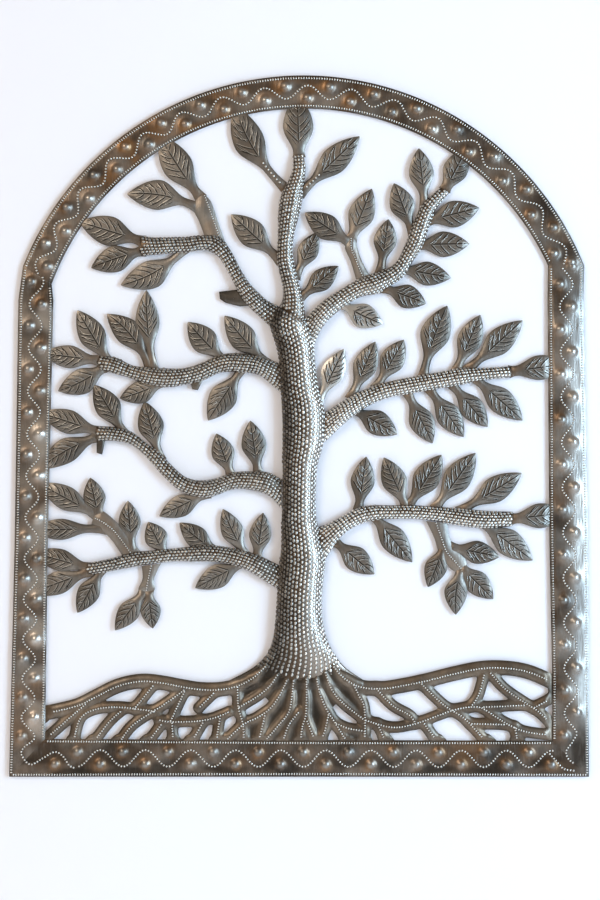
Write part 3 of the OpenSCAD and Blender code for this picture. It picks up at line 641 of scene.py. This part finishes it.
class Rail:
    """A stretch of border between two edges, with domes from side to side of its middle.

    place(k) is how far along the rail dome k stands, and swing is 1 if its first dome stands nearer
    its outer edge and -1 if nearer its inner one. wave is how far the wavy dot line swings from the
    middle. inner_polish is how bright its inner half is worn, outer_polish how bright a painted
    sheen makes its outer half, grime how dark it is made in patches towards its outer edge, and bow
    how far its middle is bowed out.
    """

    def __init__(self, inner, outer, place, count, swing, wave, inner_polish=0.0,
                 outer_polish=0.0, grime=0.0, bow=0.0):
        middle = [mix(a, b, 0.5) for a, b in zip(resample(inner, 121), resample(outer, 121))]
        self.long = lengths(middle)[-1]
        self.steps = int(self.long / 1.6)
        self.inner = resample(inner, self.steps + 1)
        self.outer = resample(outer, self.steps + 1)
        self.places = [place(k) for k in range(-1, count + 1)]
        self.swing = swing
        self.wave_reach = wave
        self.inner_polish = inner_polish
        self.outer_polish = outer_polish
        self.grime = grime
        self.bow = bow
        self.domes = [
            self.beside(place(k), DOME_SWAY * swing * (1 if k % 2 == 0 else -1))
            for k in range(count)
        ]

    def at(self, s, share):
        """The point at s along the rail and share of the way from its inner to its outer edge."""
        place = min(max(s / self.long, 0), 1) * self.steps
        k = min(int(place), self.steps - 1)
        inner = mix(self.inner[k], self.inner[k + 1], place - k)
        outer = mix(self.outer[k], self.outer[k + 1], place - k)
        return mix(inner, outer, share)

    def wide(self, s):
        return math.dist(self.at(s, 0), self.at(s, 1))

    def beside(self, s, aside):
        """The point beside the rail's middle at s, aside from it towards the outer edge."""
        s = min(max(s, 1), self.long - 1)
        before = self.at(s - 1, 0.5)
        after = self.at(s + 1, 0.5)
        side = left_of(before, after)
        middle = mix(before, after, 0.5)
        outer = self.at(s, 1)
        if side[0] * (outer[0] - middle[0]) + side[1] * (outer[1] - middle[1]) < 0:
            aside = -aside
        return [middle[0] + side[0] * aside, middle[1] + side[1] * aside]

    def phase(self, s):
        """Which dome s is at: whole numbers at the domes, in between between them."""
        k = 0
        while k < len(self.places) - 2 and self.places[k + 1] < s:
            k += 1
        near, far = self.places[k:k + 2]
        return k - 1 + (s - near) / (far - near)

    def bulge(self, s, point):
        """How far the nearest dome lifts the sheet, as a share of its height."""
        k = round(self.phase(s))
        near = self.domes[max(k - 2, 0):k + 3]
        far = min(math.dist(point, dome) for dome in near)
        cap = max(0.0, 1 - (far / 6.8) ** 2) ** 1.6
        return 0.6 * cap + 0.4 * math.exp(-((far / 8) ** 2))

    def spot(self, s, point, aside):
        """The sheet at a point, s along the rail and aside of its middle."""
        x, z = point
        half = self.wide(s) / 2
        edge = half - abs(aside)
        wobble = noise.noise(Vector((x / 45, z / 45, 3)))
        bulge = self.bulge(s, point)
        ends = ease((s - 20) / 60) * ease((self.long - s) / 60)
        out = SHEET + 1.2 * ease(edge / 5) + DOME_HIGH * bulge + 0.6 * wobble * ease(edge / 6)
        out += self.bow * ends * ease((half - aside) / 22) * ease((half + aside) / 8)
        dark = 0.9 * (1 - ease(edge / 2.0)) + 0.3 * math.exp(-((edge - 3.2) ** 2) / 2.5)
        patch = ease(0.5 + 2 * noise.noise(Vector((x / 30, z / 30, 9))))
        dark_patch = ease(0.5 + 2 * noise.noise(Vector((x / 34, z / 12, 21))))
        # Darker in patches towards the outer edge, away from the domes
        dark += self.grime * dark_patch * ease((aside + 9) / 14) * (1 - ease(bulge * 2))
        worn = 0.2 * ease((bulge - 0.5) * 2)
        worn += self.inner_polish * ease((7 - aside) / 12) * patch
        # Painted sheen on the outer half
        worn += self.outer_polish * ends * ease((aside + 4) / 10)
        rust = 0.8 * math.exp(-(((bulge - 0.35) / 0.3) ** 2))
        rust += 0.7 * ease((z - 580) / 90) * ease((160 - x) / 200) * (1 - patch)
        # No rust under the painted sheen
        rust *= max(0.0, 1 - 4 * self.outer_polish * ease((aside + 8) / 10))
        return x, out, z, worn, min(dark, 1), rust

    def wave(self, from_s, to_s):
        """The wavy dot line, which swings away from each dome."""
        line = []
        for k in range(int((to_s - from_s) / 1.2) + 1):
            s = from_s + 1.2 * k
            aside = -self.wave_reach * self.swing * math.cos(math.pi * self.phase(s))
            line.append(self.spot(s, self.beside(s, aside), aside)[:3])
        return line

    def edge_line(self, share, margin, trim):
        """A line along the edge at share 0 or 1, a margin inside it."""
        line = []
        for k in range(self.steps + 1):
            s = trim + (self.long - 2 * trim) * k / self.steps
            wide = self.wide(s)
            place = abs(share - margin / wide)
            line.append(self.spot(s, self.at(s, place), wide * (place - 0.5))[:3])
        return line

    def skin(self, wave_from, wave_to):
        skin = Skin()
        shares = [j / 26 for j in range(27)]
        rows = []
        for k in range(self.steps + 1):
            s = self.long * k / self.steps
            wide = self.wide(s)
            rows.append([self.spot(s, self.at(s, t), wide * (t - 0.5)) for t in shares])
        skin.plate(rows)
        for share, margin, trim in ((0, 3.2, 4), (1, 3.2, 1)):
            dot_line(skin, self.edge_line(share, margin, trim), *EDGE_DOTS)
        dot_line(skin, self.wave(wave_from, wave_to), *WAVE_DOTS)
        return skin


def dome_places(first, pitch, growth=0.0):
    """How far along a rail its domes stand, each a little more than a pitch after the last."""
    return lambda k: first + pitch * k + growth * k * k


def make_border(material):
    arch = Rail(arch_edge(ARCH_INNER_R, 159.7, 24.6), arch_edge(ARCH_R, 158.4, 21.7),
                dome_places(12.8, 22, 0.05), 32, -1, 7, 0.10, grime=0.45)
    left = Rail(LEFT_INNER, LEFT_OUTER, dome_places(23.1, 20.8, 0.076), 23, 1, 7, 0.30, 0.06)
    # The right rail's outer half gets the most painted sheen
    right = Rail(RIGHT_INNER, RIGHT_OUTER, dome_places(25.5, 24.5), 22, -1, 7, 0.12, 0.22,
                 bow=2.2)
    bottom = Rail([LEFT_INNER[0], RIGHT_INNER[0]], [LEFT_OUTER[0], RIGHT_OUTER[0]],
                  dome_places(30.5, 24.5), 23, 1, 9, grime=0.8)
    skins = {
        "arch_rail": arch.skin(0.5, arch.long - 0.5),
        "left_rail": left.skin(29, left.long - 0.5),
        "right_rail": right.skin(28, right.long - 0.5),
        "bottom_rail": bottom.skin(55, 571)
    }
    for line in CORNER_WAVES:
        flat = [(x, SHEET + 1.3, z) for x, z in smooth(line, 6)]
        dot_line(skins["bottom_rail"], flat, *WAVE_DOTS)
    for name, skin in skins.items():
        make_piece(name, skin, material)


# ---- trunk and limbs ----


class Limb:
    """A hollow half-round limb through rows of edge points.

    root_share and tip_share are how much of its depth it keeps at its two ends, root_run how far it
    takes to reach its full depth, polish how bright a painted sheen makes its second edge's flank,
    gleam how much brighter a painted sheen makes its beads and shade how dark painted shade makes
    its first edge's flank.
    """

    def __init__(self, rows, root_share=0.4, tip_share=0.6, root_run=28, polish=0.0, gleam=0.0,
                 shade=0.4):
        self.rows = smooth(rows, 4)
        self.polish = polish
        self.gleam = gleam
        self.shade = shade
        self.run = lengths([mix(row[:2], row[2:], 0.5) for row in self.rows])
        self.root_share = root_share
        self.tip_share = tip_share
        self.root_run = root_run

    def half(self, k):
        row = self.rows[k]
        return math.dist(row[:2], row[2:]) / 2

    def across(self, k):
        """Unit vector from the first edge to the second."""
        row = self.rows[k]
        return [(row[2] - row[0]) / (2 * self.half(k)), (row[3] - row[1]) / (2 * self.half(k))]

    def depth(self, k):
        """Rise of the limb's crest above its edges: it dips where it joins the trunk."""
        full = min(TRUNK_DEPTH - SHEET, LIMB_ROUND * self.half(k))
        start = self.root_share + (1 - self.root_share) * ease(self.run[k] / self.root_run)
        end = self.tip_share + (1 - self.tip_share) * ease((self.run[-1] - self.run[k]) / 10)
        return full * start * end

    def spot(self, k, turn, inset=0.0):
        row = self.rows[k]
        unit = self.across(k)
        reach = (self.half(k) - inset) * math.cos(turn)
        out = self.depth(k) * math.sin(turn) + (0 if inset else SHEET)
        return ((row[0] + row[2]) / 2 - unit[0] * reach, out,
                (row[1] + row[3]) / 2 - unit[1] * reach)

    def height(self, x, z):
        """How far out the skin is at a point of the limb whose rows lie nearly level."""
        levels = [abs((row[1] + row[3]) / 2 - z) for row in self.rows]
        k = levels.index(min(levels))
        share = (x - (self.rows[k][0] + self.rows[k][2]) / 2) / self.half(k)
        return self.depth(k) * math.sqrt(max(0.0, 1 - share * share))

    def normal(self, k, turn):
        """Direction straight out of the skin."""
        unit = self.across(k)
        lean = -math.cos(turn) * max(self.depth(k), 1)
        rise = math.sin(turn) * self.half(k)
        return Vector((unit[0] * lean, rise, unit[1] * lean)).normalized()

    def shine(self, turn):
        """How bright a painted sheen makes the flank at a turn round the limb."""
        return self.polish * ease((turn - 1.45) / 0.8) * ease((3.05 - turn) / 0.3)

    def skin(self):
        skin = Skin()
        turns = [math.pi * j / 20 for j in range(21)]
        front = []
        back = []
        for k in range(len(self.rows)):
            row = []
            for turn in turns:
                edge = 1 - ease(math.sin(turn) * 5)
                shine = self.shine(turn)
                # Painted shade on the first edge's flank, painted sheen on the second; dark along
                # the limb's foot
                soot_and_shade = 0.3 + self.shade * ease((1.7 - turn) / 1.1)
                row.append((*self.spot(k, turn), shine * (1 - edge),
                            max(soot_and_shade * (1 - shine), 0.9 * edge), 0.5))
            front.append(row)
            back.append([(*self.spot(k, turn, SHEET), 0.14) for turn in turns])
        skin.shell(front, back)
        return skin

    def beads(self, skin, across_pitch, along_pitch, long, wide, keep=lambda x, z: True,
              lean=1.3):
        """Rows of beads that run along the limb, every other row half a step on.

        They lie within lean of the crest, an angle round the limb, and where keep allows.
        """
        for j in range(-MOST_ROWS, MOST_ROWS + 1):
            runs = [[]]
            for k in range(len(self.rows)):
                arc = (self.half(k) + self.depth(k)) / 2
                turn = math.pi / 2 + j * across_pitch / arc
                spot = self.spot(k, turn)
                if abs(turn - math.pi / 2) < lean and keep(spot[0], spot[2]):
                    runs[-1].append((spot, self.normal(k, turn), turn))
                else:
                    runs.append([])
            for run in runs:
                if len(run) > 1:
                    self.bead_row(skin, run, along_pitch, 0.25 + 0.5 * (j % 2), long, wide)

    def bead_row(self, skin, run, pitch, phase, long, wide):
        for at, along in spaced([spot for spot, _, _ in run], pitch, phase):
            _, normal, turn = min(run, key=lambda place: math.dist(place[0], at))
            drift = noise.noise_vector(at * 0.35)
            at += along * drift[0] * 0.9 + along.cross(normal) * drift[1] * 0.5
            # Beads are painted brighter towards the second edge's flank and by gleam, darker on the
            # first by shade: painted sheen and painted shade, spread at random
            light = 0.24 + self.gleam + 0.3 * ease((turn - 0.5) / 1.3) + 0.5 * self.shine(turn)
            light += 0.3 * drift[2] - (self.shade - 0.4) * ease((1.6 - turn) / 0.8)
            size = 1 + 0.25 * drift[0]
            skin.bead(at, along, normal, long * size, wide * size, wide * 0.36, min(light, 1))


def over_the_foot(x, z):
    """Where the trunk's beads stop above the roots."""
    return z > 105 + 9 * ease(abs(x) / 40) and abs(x) < 46


def make_limbs(trunk, material):
    noise.seed_set(BEAD_SEED)
    skin = trunk.skin()
    trunk.beads(skin, *TRUNK_BEADS, keep=over_the_foot, lean=1.42)
    make_piece("trunk", skin, material)
    # The crown and the right-hand limbs get painted sheen on their flanks and beads
    for name, rows, root_share, polish, gleam in (
        ("crown_limb", CROWN, 0.8, 0.3, 0.05),
        ("upper_left_limb", UPPER_LEFT, 0.4, 0.0, 0.0),
        ("upper_right_limb", UPPER_RIGHT, 0.4, 0.25, 0.15),
        ("left_high_limb", LEFT_HIGH, 0.4, 0.0, 0.0),
        ("left_middle_limb", LEFT_MIDDLE, 0.4, 0.05, 0.0),
        ("left_low_limb", LEFT_LOW, 0.4, 0.05, 0.0),
        ("right_middle_limb", RIGHT_MIDDLE, 0.4, 0.25, 0.3),
        ("right_low_limb", RIGHT_LOW, 0.4, 0.2, 0.3),
    ):
        limb = Limb(rows, root_share=root_share, polish=polish, gleam=gleam)
        skin = limb.skin()
        limb.beads(skin, *LIMB_BEADS)
        make_piece(name, skin, material)


# ---- strips: twigs, ridges and roots ----


def to_segment(a, b, x, z):
    """How far points are from the way from a to b, and how far along it they lie, 0 to 1."""
    step_x = b[0] - a[0]
    step_z = b[1] - a[1]
    along = ((x - a[0]) * step_x + (z - a[1]) * step_z) / (step_x ** 2 + step_z ** 2)
    along = numpy.clip(along, 0, 1)
    return numpy.hypot(x - a[0] - along * step_x, z - a[1] - along * step_z), along


def within(outline, x, z):
    """How far points are inside a closed outline, negative outside it."""
    away = numpy.full(x.shape, 99.0)
    odd = numpy.zeros(x.shape, bool)
    for a, b in zip(outline, outline[1:] + outline[:1]):
        if math.dist(a, b) > 0.001:
            away = numpy.minimum(away, to_segment(a, b, x, z)[0])
        if a[1] != b[1]:
            crossed = x < a[0] + (b[0] - a[0]) * (z - a[1]) / (b[1] - a[1])
            odd ^= ((a[1] > z) != (b[1] > z)) & crossed
    return numpy.where(odd, away, -away)


class Strand:
    """A root or a ridge: a smooth line with the half width of the sheet left round it."""

    def __init__(self, owner, line, width):
        if room(*line[-1]) < 8:
            line = line + [mix(line[-2], line[-1], 1 + 10 / math.dist(*line[-2:]))]
        self.owner = owner
        self.line = smooth(line, 5)
        run = lengths(self.line)
        self.half = [
            width / 2 * self.share(line[0], s) * self.share(line[-1], run[-1] - s) for s in run
        ]

    def share(self, point, to_end):
        """It spreads into the border and starts narrow on the trunk's foot."""
        x, z = point
        if room(x, z) < 8:
            return 1 + 0.5 * math.exp(-(max(to_end - 8, 0) / 5) ** 2)
        if z > 104 and abs(x) < 65:
            return 0.3 + 0.7 * ease(to_end / 24)
        return 1.0

    def inside(self, x, z):
        """How far points are inside the strand, negative outside it."""
        best = numpy.full(x.shape, -99.0)
        for a, b, start, end in zip(self.line, self.line[1:], self.half, self.half[1:]):
            away, along = to_segment(a, b, x, z)
            best = numpy.maximum(best, start + (end - start) * along - away)
        return best


class Ground:
    """The ridges, the roots and the closed hollows of the fan, pierced out of one sheet.

    It is worked out on a square net of points. Strands run into each other with rounded corners,
    and each square of the net belongs to the piece of the strand that is nearest to it.
    """

    def __init__(self, trunk):
        self.trunk = trunk
        self.strands = [
            Strand("left_ground", LEFT_RIDGE, RIDGE_W),
            Strand("right_ground", RIGHT_RIDGE, RIDGE_W)
        ]
        for owner, lines in (("left_roots", LEFT_ROOTS), ("right_roots", RIGHT_ROOTS),
                             ("root_fan", FAN_ROOTS.values())):
            self.strands += [Strand(owner, line, ROOT_W) for line in lines]
        self.across = numpy.arange(-290, 290, GROUND_STEP)
        self.up = numpy.arange(32, 132, GROUND_STEP)
        x, z = numpy.meshgrid(self.across, self.up)
        depths = numpy.array([strand.inside(x, z) for strand in self.strands])
        self.nearest = depths.argmax(axis=0)
        shares = numpy.exp(numpy.maximum(depths, -30) / FILLET)
        self.inside = FILLET * numpy.log(shares.sum(axis=0))
        self.web = numpy.max([
            within(smooth(one, 5) + smooth(other, 5)[::-1], x, z) for one, other in FAN_HOLLOWS
        ], axis=0)
        self.room = numpy.array([[room(a, b) for a in self.across] for b in self.up])
        self.sheet = numpy.minimum(numpy.maximum(self.inside, self.web), self.room + 5)

    def spot(self, x, z, inside, space):
        """The skin at a point so far inside the strands and so far inside the border."""
        foot = self.trunk.height(x, z) * ease((z - 94) / 9) if abs(x) < 74 else 0.0
        full = min(max(inside / (ROOT_W / 2), 0.0), 1.0)
        rise = ROOT_RISE * full * (2 - full) + 0.3 * (1 - ease(-inside / 3))
        out = SHEET + foot + rise * ease((space + 3) / 9) - 0.4 * (1 - ease((space + 2) / 3))
        # The strands' edges and the hollows between them are darker: painted shade together with the
        # patina in them
        dark = 0.6 * ease((0.45 - full) / 0.45) + 0.3 * ease(-inside / 3)
        return x, out, z, 0.0, dark, 0.3

    def corner(self, j, i):
        return self.across[i], self.up[j], self.inside[j, i], self.room[j, i]

    def cell(self, j, i):
        """The part of a square that is sheet: its corners in order, each with a key."""
        ring = ((j, i), (j, i + 1), (j + 1, i + 1), (j + 1, i))
        found = []
        for here, after in zip(ring, ring[1:] + ring[:1]):
            depth = self.sheet[here]
            depth_after = self.sheet[after]
            if depth > 0:
                found.append((here, self.corner(*here)))
            if (depth > 0) != (depth_after > 0):
                cut = mix(self.corner(*here), self.corner(*after), depth / (depth - depth_after))
                found.append((frozenset((here, after)), cut))
        return found

    def cells(self):
        """The cells of each piece."""
        found = {strand.owner: [] for strand in self.strands}
        for j in range(len(self.up) - 1):
            for i in range(len(self.across) - 1):
                cell = self.cell(j, i)
                on_strand = self.inside[j, i] > self.web[j, i]
                owner = self.strands[self.nearest[j, i]].owner if on_strand else "root_fan"
                if cell:
                    found[owner].append(cell)
        return found

    def skin(self, cells):
        """Front, back and cut edge round some cells."""
        skin = Skin()
        front = {key: self.spot(*values) for cell in cells for key, values in cell}
        back = {key: (x, max(out - SHEET, 0.0), z, 0.14) for key, (x, out, z, *_) in front.items()}
        high = {key: skin.add(*spot) for key, spot in front.items()}
        low = {key: skin.add(*spot) for key, spot in back.items()}
        rings = [[key for key, _ in cell] for cell in cells]
        skin.faces += [tuple(high[key] for key in ring) for ring in rings]
        skin.faces += [tuple(low[key] for key in ring[::-1]) for ring in rings]
        steps = dict.fromkeys((a, b) for ring in rings for a, b in zip(ring, ring[1:] + ring[:1]))
        edge = [(a, b) for a, b in steps if (b, a) not in steps]
        starts = dict.fromkeys(key for step in edge for key in step)
        top = {key: skin.add(*front[key][:3], 0.0, 0.9) for key in starts}
        foot = {key: skin.add(*back[key][:3], 0.0, 0.9) for key in starts}
        skin.faces += [(top[a], foot[a], foot[b], top[b]) for a, b in edge]
        return skin

    def depth(self, x, z):
        """How far inside the strands a point is, between the net's own points."""
        i, to_right = divmod((x - self.across[0]) / GROUND_STEP, 1)
        j, to_top = divmod((z - self.up[0]) / GROUND_STEP, 1)
        near = self.inside[int(j):int(j) + 2, int(i):int(i) + 2]
        below, above = near[:, 0] + (near[:, 1] - near[:, 0]) * to_right
        return below + (above - below) * to_top

    def dots(self, skin, strand):
        """A line of dots along the crest of a strand."""
        crest = []
        for x, z in strand.line:
            space = room(x, z)
            if space > 1:
                crest.append(self.spot(x, z, self.depth(x, z), space)[:3])
        dot_line(skin, crest, *ROOT_DOTS)


def edge_strip(skin, rows, side):
    """A rounded strip between the two edge points of each row, with a line of dots.

    It thins out and is rounded at its far end. The dots run side of the way from its first edge.
    """
    fine = smooth(rows, 4)
    grid = []
    crest = []
    for k, row in enumerate(fine):
        full = ease((len(fine) - 1 - k) / 3)
        rise = TWIG_RISE * (0.15 + 0.85 * full)
        spots = []
        for v in STATIONS:
            x, z = mix(row[:2], row[2:], (1 + v * (0.62 + 0.38 * full)) / 2)
            dark = 0.5 * ease((abs(v) - 0.7) / 0.3)
            spots.append((x, SHEET + rise * (1 - v * v), z, 0.13, dark, 0.6))
        grid.append(spots)
        x, z = mix(row[:2], row[2:], side)
        crest.append((x, SHEET + rise * (1 - (2 * side - 1) ** 2), z))
    skin.plate(grid)
    dot_line(skin, crest, *TWIG_DOTS)


def make_twigs(material):
    for name, rows, side in (
        ("upper_left_twig", UPPER_LEFT_TWIG, 0.78),
        ("upper_right_twig", UPPER_RIGHT_TWIG, 0.5),
        ("left_low_twig", LEFT_LOW_TWIG, 0.5),
        ("left_low_hanging_twig", LEFT_LOW_HANGING_TWIG, 0.5),
        ("right_low_twig", RIGHT_LOW_TWIG, 0.45),
    ):
        skin = Skin()
        edge_strip(skin, rows, side)
        make_piece(name, skin, material)


def make_stubs(material):
    skin = Skin()
    for outline in STUBS:
        middle = [sum(p[i] for p in outline) / len(outline) for i in (0, 1)]
        rows = []
        for share, rise in ((1, 0), (0.8, 1.6), (0.45, 2.4), (0.02, 2.6)):
            ring = [mix(middle, p, share) for p in outline + outline[:1]]
            rows.append([(x, SHEET + rise, z, 0.0, 0.6 * (share == 1) + 0.2) for x, z in ring])
        skin.plate(rows)
    make_piece("side_stubs", skin, material)


def make_ground(trunk, material):
    """The ridge of earth and the roots: they flow out of the trunk's foot."""
    ground = Ground(trunk)
    for name, cells in ground.cells().items():
        skin = ground.skin(cells)
        for strand in ground.strands:
            if strand.owner == name:
                ground.dots(skin, strand)
        make_piece(name, skin, material)


# ---- leaves ----


def leaf_half(u, width, start):
    """Half width of a leaf at u, from 0 at its joint to 1 at its tip."""
    v = max(0.0, (u - start) / (1 - start))
    blade = (1 - math.cos(2 * math.pi * v)) / 2 if v < 0.5 else math.sin(math.pi * v) ** 0.85
    foot = max(0.0, 1 - u / 0.25) ** 2
    return STEM_HALF * (1 - v) * (1 + 0.6 * foot) + (width - STEM_HALF) / 2 * blade


class Leaf:
    """A leaf with a pillowed blade, chased veins and a rounded stem."""

    def __init__(self, spec, dice):
        self.joint = spec[0:2]
        self.tip = spec[2:4]
        self.width, self.start = spec[4:6]
        self.bend = spec[6] if len(spec) > 6 else 0
        # How bright a painted sheen makes the leaf
        self.shine = spec[7] if len(spec) > 7 else dice.uniform(0.0, 0.08)
        self.side = left_of(self.joint, self.tip)
        self.tilt = dice.uniform(-1, 1)
        self.fold = dice.uniform(0.2, 0.9)
        self.dice = dice

    def blade(self, u):
        return ease((u - self.start) / (1 - self.start) / 0.35)

    def spot(self, u, v):
        half = leaf_half(u, self.width, self.start)
        aside = 4 * self.bend * u * (1 - u) + v * half
        x, z = (
            self.joint[i] + (self.tip[i] - self.joint[i]) * u + self.side[i] * aside
            for i in (0, 1)
        )
        blade = self.blade(u)
        pillow = 1 - v * v
        rise = (2.2 - 0.4 * blade) * pillow
        fold = self.fold * blade * (1 - math.exp(-abs(v) * 4)) * pillow
        tilt = (1 + self.tilt * v) * 0.6 * blade * ease((1 - u) * 6)
        low = ease((room(x, z) + 1) / 7)
        tip = ease((1 - u) * 7)
        root = 0.1 + 0.9 * ease(u / 0.13)
        return x, SHEET + (rise * tip * root + fold * tip + tilt) * low, z

    def add_to(self, skin):
        rows = []
        steps = 26
        for k in range(steps + 1):
            u = 0.995 * k / steps
            row = []
            for v in STATIONS:
                edge = 0.75 * ease((abs(v) - 0.82) / 0.18)
                rust = 0.6 * (1 - ease(u / 0.3)) + 0.2
                row.append((*self.spot(u, v), self.shine, edge, rust))
            rows.append(row)
        skin.plate(rows)
        self.veins(skin)
        self.hatching(skin)

    def stem_dots(self, skin):
        """A line of coarse dots up the middle of the stem."""
        end = self.start + 0.13
        line = [self.spot(0.1 + (end - 0.1) * k / 6, 0) for k in range(7)]
        dot_line(skin, line, *STEM_DOTS)

    def stroke(self, skin, side, u, u_end, v, v_end, wide, burr):
        """A chased stroke that runs out from the midrib and bends towards the tip."""
        line = []
        for j in range(7):
            t = j / 6
            line.append(self.spot(u + (u_end - u) * t ** 1.3, side * (v + (v_end - v) * t)))
        if side < 0:
            line.reverse()
        skin.cut_line(line, wide, burr)

    def veins(self, skin):
        long = 1 - self.start
        first = self.start + 0.22 * long
        rib = [self.spot(first + (0.96 - first) * k / 12, 0) for k in range(13)]
        skin.cut_line(rib, 1.25, 0.35)
        count = 4 if math.dist(self.joint, self.tip) < 62 else 5
        for k in range(count):
            for side in (-1, 1):
                u = first + (0.86 - first) * (k + 0.15 + self.dice.uniform(-0.12, 0.12)) / count
                reach = self.dice.uniform(0.17, 0.23) * (1 - 0.08 * k)
                end = min(u + reach * long ** 0.5, 0.975)
                self.stroke(skin, side, u, end, 0.04, 0.84, 1.15, 0.5)

    def hatching(self, skin):
        """Fine light strokes between the veins."""
        first = self.start + 0.2 * (1 - self.start)
        for side in (-1, 1):
            for _ in range(9):
                u = self.dice.uniform(first, 0.82)
                v = self.dice.uniform(0.1, 0.55)
                self.stroke(skin, side, u, u + 0.1, v, v + 0.3, 0.62, 0.7)


def make_leaves(material):
    dice = random.Random(LEAF_SEED)
    for name, specs in LEAVES.items():
        skin = Skin()
        for spec in specs:
            leaf = Leaf(spec, dice)
            leaf.add_to(skin)
            if leaf.joint in DOTTED_JOINTS:
                leaf.stem_dots(skin)
        make_piece(name, skin, material)


# ---- stage ----


def flat_stage(name, corners, material):
    mesh = bpy.data.meshes.new(name)
    mesh.from_pydata(corners, [], [(0, 1, 2, 3)])
    mesh.materials.append(material)
    thing = put(name, mesh)
    return thing


def one_sided_white():
    """White plaster seen from the front; nothing is seen or shaded from behind."""
    made = Material("wall_white")
    made.fill(made.shader, {"Base Color": PLASTER, "Roughness": 0.9})
    behind = made.add("NewGeometry", {})["Backfacing"]
    clear = made.add("BsdfTransparent", {})["BSDF"]
    choice = made.add("MixShader", {0: behind, 1: made.shader.outputs["BSDF"], 2: clear})
    made.fill(made.tree.nodes["Material Output"], {"Surface": choice["Shader"]})
    return made.data


def pale_floor():
    made = Material("floor_pale")
    made.fill(made.shader, {"Base Color": PALE_FLOOR, "Roughness": 0.7})
    return made.data


def make_light(name, place, aim, size, power, colour):
    lamp = bpy.data.lights.new(name, "AREA")
    lamp.shape = "RECTANGLE"
    lamp.size, lamp.size_y = size
    lamp.energy = power
    lamp.color = colour
    thing = put(name, lamp)
    thing.location = place
    thing.rotation_euler = (Vector(aim) - Vector(place)).to_track_quat("-Z", "Y").to_euler()


def make_stage():
    left, right = -STAGE_REACH, STAGE_REACH
    wall = flat_stage("wall", [
        (left, WALL_BEHIND, FLOOR_UP), (right, WALL_BEHIND, FLOOR_UP),
        (right, WALL_BEHIND, WALL_TOP), (left, WALL_BEHIND, WALL_TOP)
    ], one_sided_white())
    wall.visible_shadow = False
    flat_stage("floor", [
        (left, left, FLOOR_UP), (right, left, FLOOR_UP),
        (right, right, FLOOR_UP), (left, right, FLOOR_UP)
    ], pale_floor())
    world = bpy.data.worlds.new("studio")
    world.use_nodes = True
    glow = world.node_tree.nodes["Background"].inputs
    glow["Color"].default_value = (1.0, 0.86, 0.70, 1)
    glow["Strength"].default_value = 0.50
    bpy.context.scene.world = world
    middle = (0, 0, 0.38)
    make_light("window", (1.9, -1.6, 0.6), middle, (0.9, 1.7), 56, (0.56, 0.80, 1.0))
    make_light("front_fill", (-1.3, -2.1, 1.5), middle, (1.2, 1.2), 20, (1.0, 0.84, 0.66))
    make_light("back_fill", (-1.3, 1.9, 1.3), middle, (2.2, 2.2), 110, (1.0, 0.96, 0.92))


def make_camera():
    lens = bpy.data.cameras.new("camera")
    lens.lens = 85
    lens.sensor_fit = "VERTICAL"
    lens.sensor_height = 36
    camera = put("camera", lens)
    camera.location = (0.002, -2.31, 0.355)
    camera.rotation_euler = (math.radians(90), 0, 0)
    bpy.context.scene.camera = camera


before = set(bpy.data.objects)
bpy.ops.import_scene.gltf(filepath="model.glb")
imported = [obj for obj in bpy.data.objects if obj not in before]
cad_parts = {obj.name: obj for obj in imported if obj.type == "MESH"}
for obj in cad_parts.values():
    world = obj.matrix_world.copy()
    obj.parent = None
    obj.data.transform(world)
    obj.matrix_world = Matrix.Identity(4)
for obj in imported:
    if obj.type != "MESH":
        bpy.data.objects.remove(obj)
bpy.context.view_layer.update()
bpy.context.scene.view_settings.view_transform = "Standard"
make_camera()
border_steel = steel("border_steel", (0.053, 0.046, 0.041, 1), (0.20, 0.175, 0.155, 1),
                     (0.22, 0.12, 0.055, 1), 0.02, 0.34)
limb_steel = steel("limb_steel", (0.07, 0.059, 0.05, 1), (0.15, 0.124, 0.10, 1),
                   (0.20, 0.11, 0.05, 1), 0.0, 0.34)
leaf_steel = steel("leaf_steel", (0.095, 0.088, 0.081, 1), (0.215, 0.197, 0.18, 1),
                   (0.18, 0.11, 0.06, 1), -0.03, 0.38)
root_steel = steel("root_steel", (0.095, 0.083, 0.072, 1), (0.195, 0.168, 0.142, 1),
                   (0.20, 0.12, 0.06, 1), 0.02, 0.36)
# The trunk's second flank and beads get painted sheen, its first flank painted shade
trunk = Limb(TRUNK, root_share=0.22, tip_share=0.75, root_run=60, polish=0.40, gleam=0.14,
             shade=0.78)
make_border(border_steel)
make_limbs(trunk, limb_steel)
make_leaves(leaf_steel)
make_twigs(leaf_steel)
make_stubs(root_steel)
make_ground(trunk, root_steel)
make_stage()
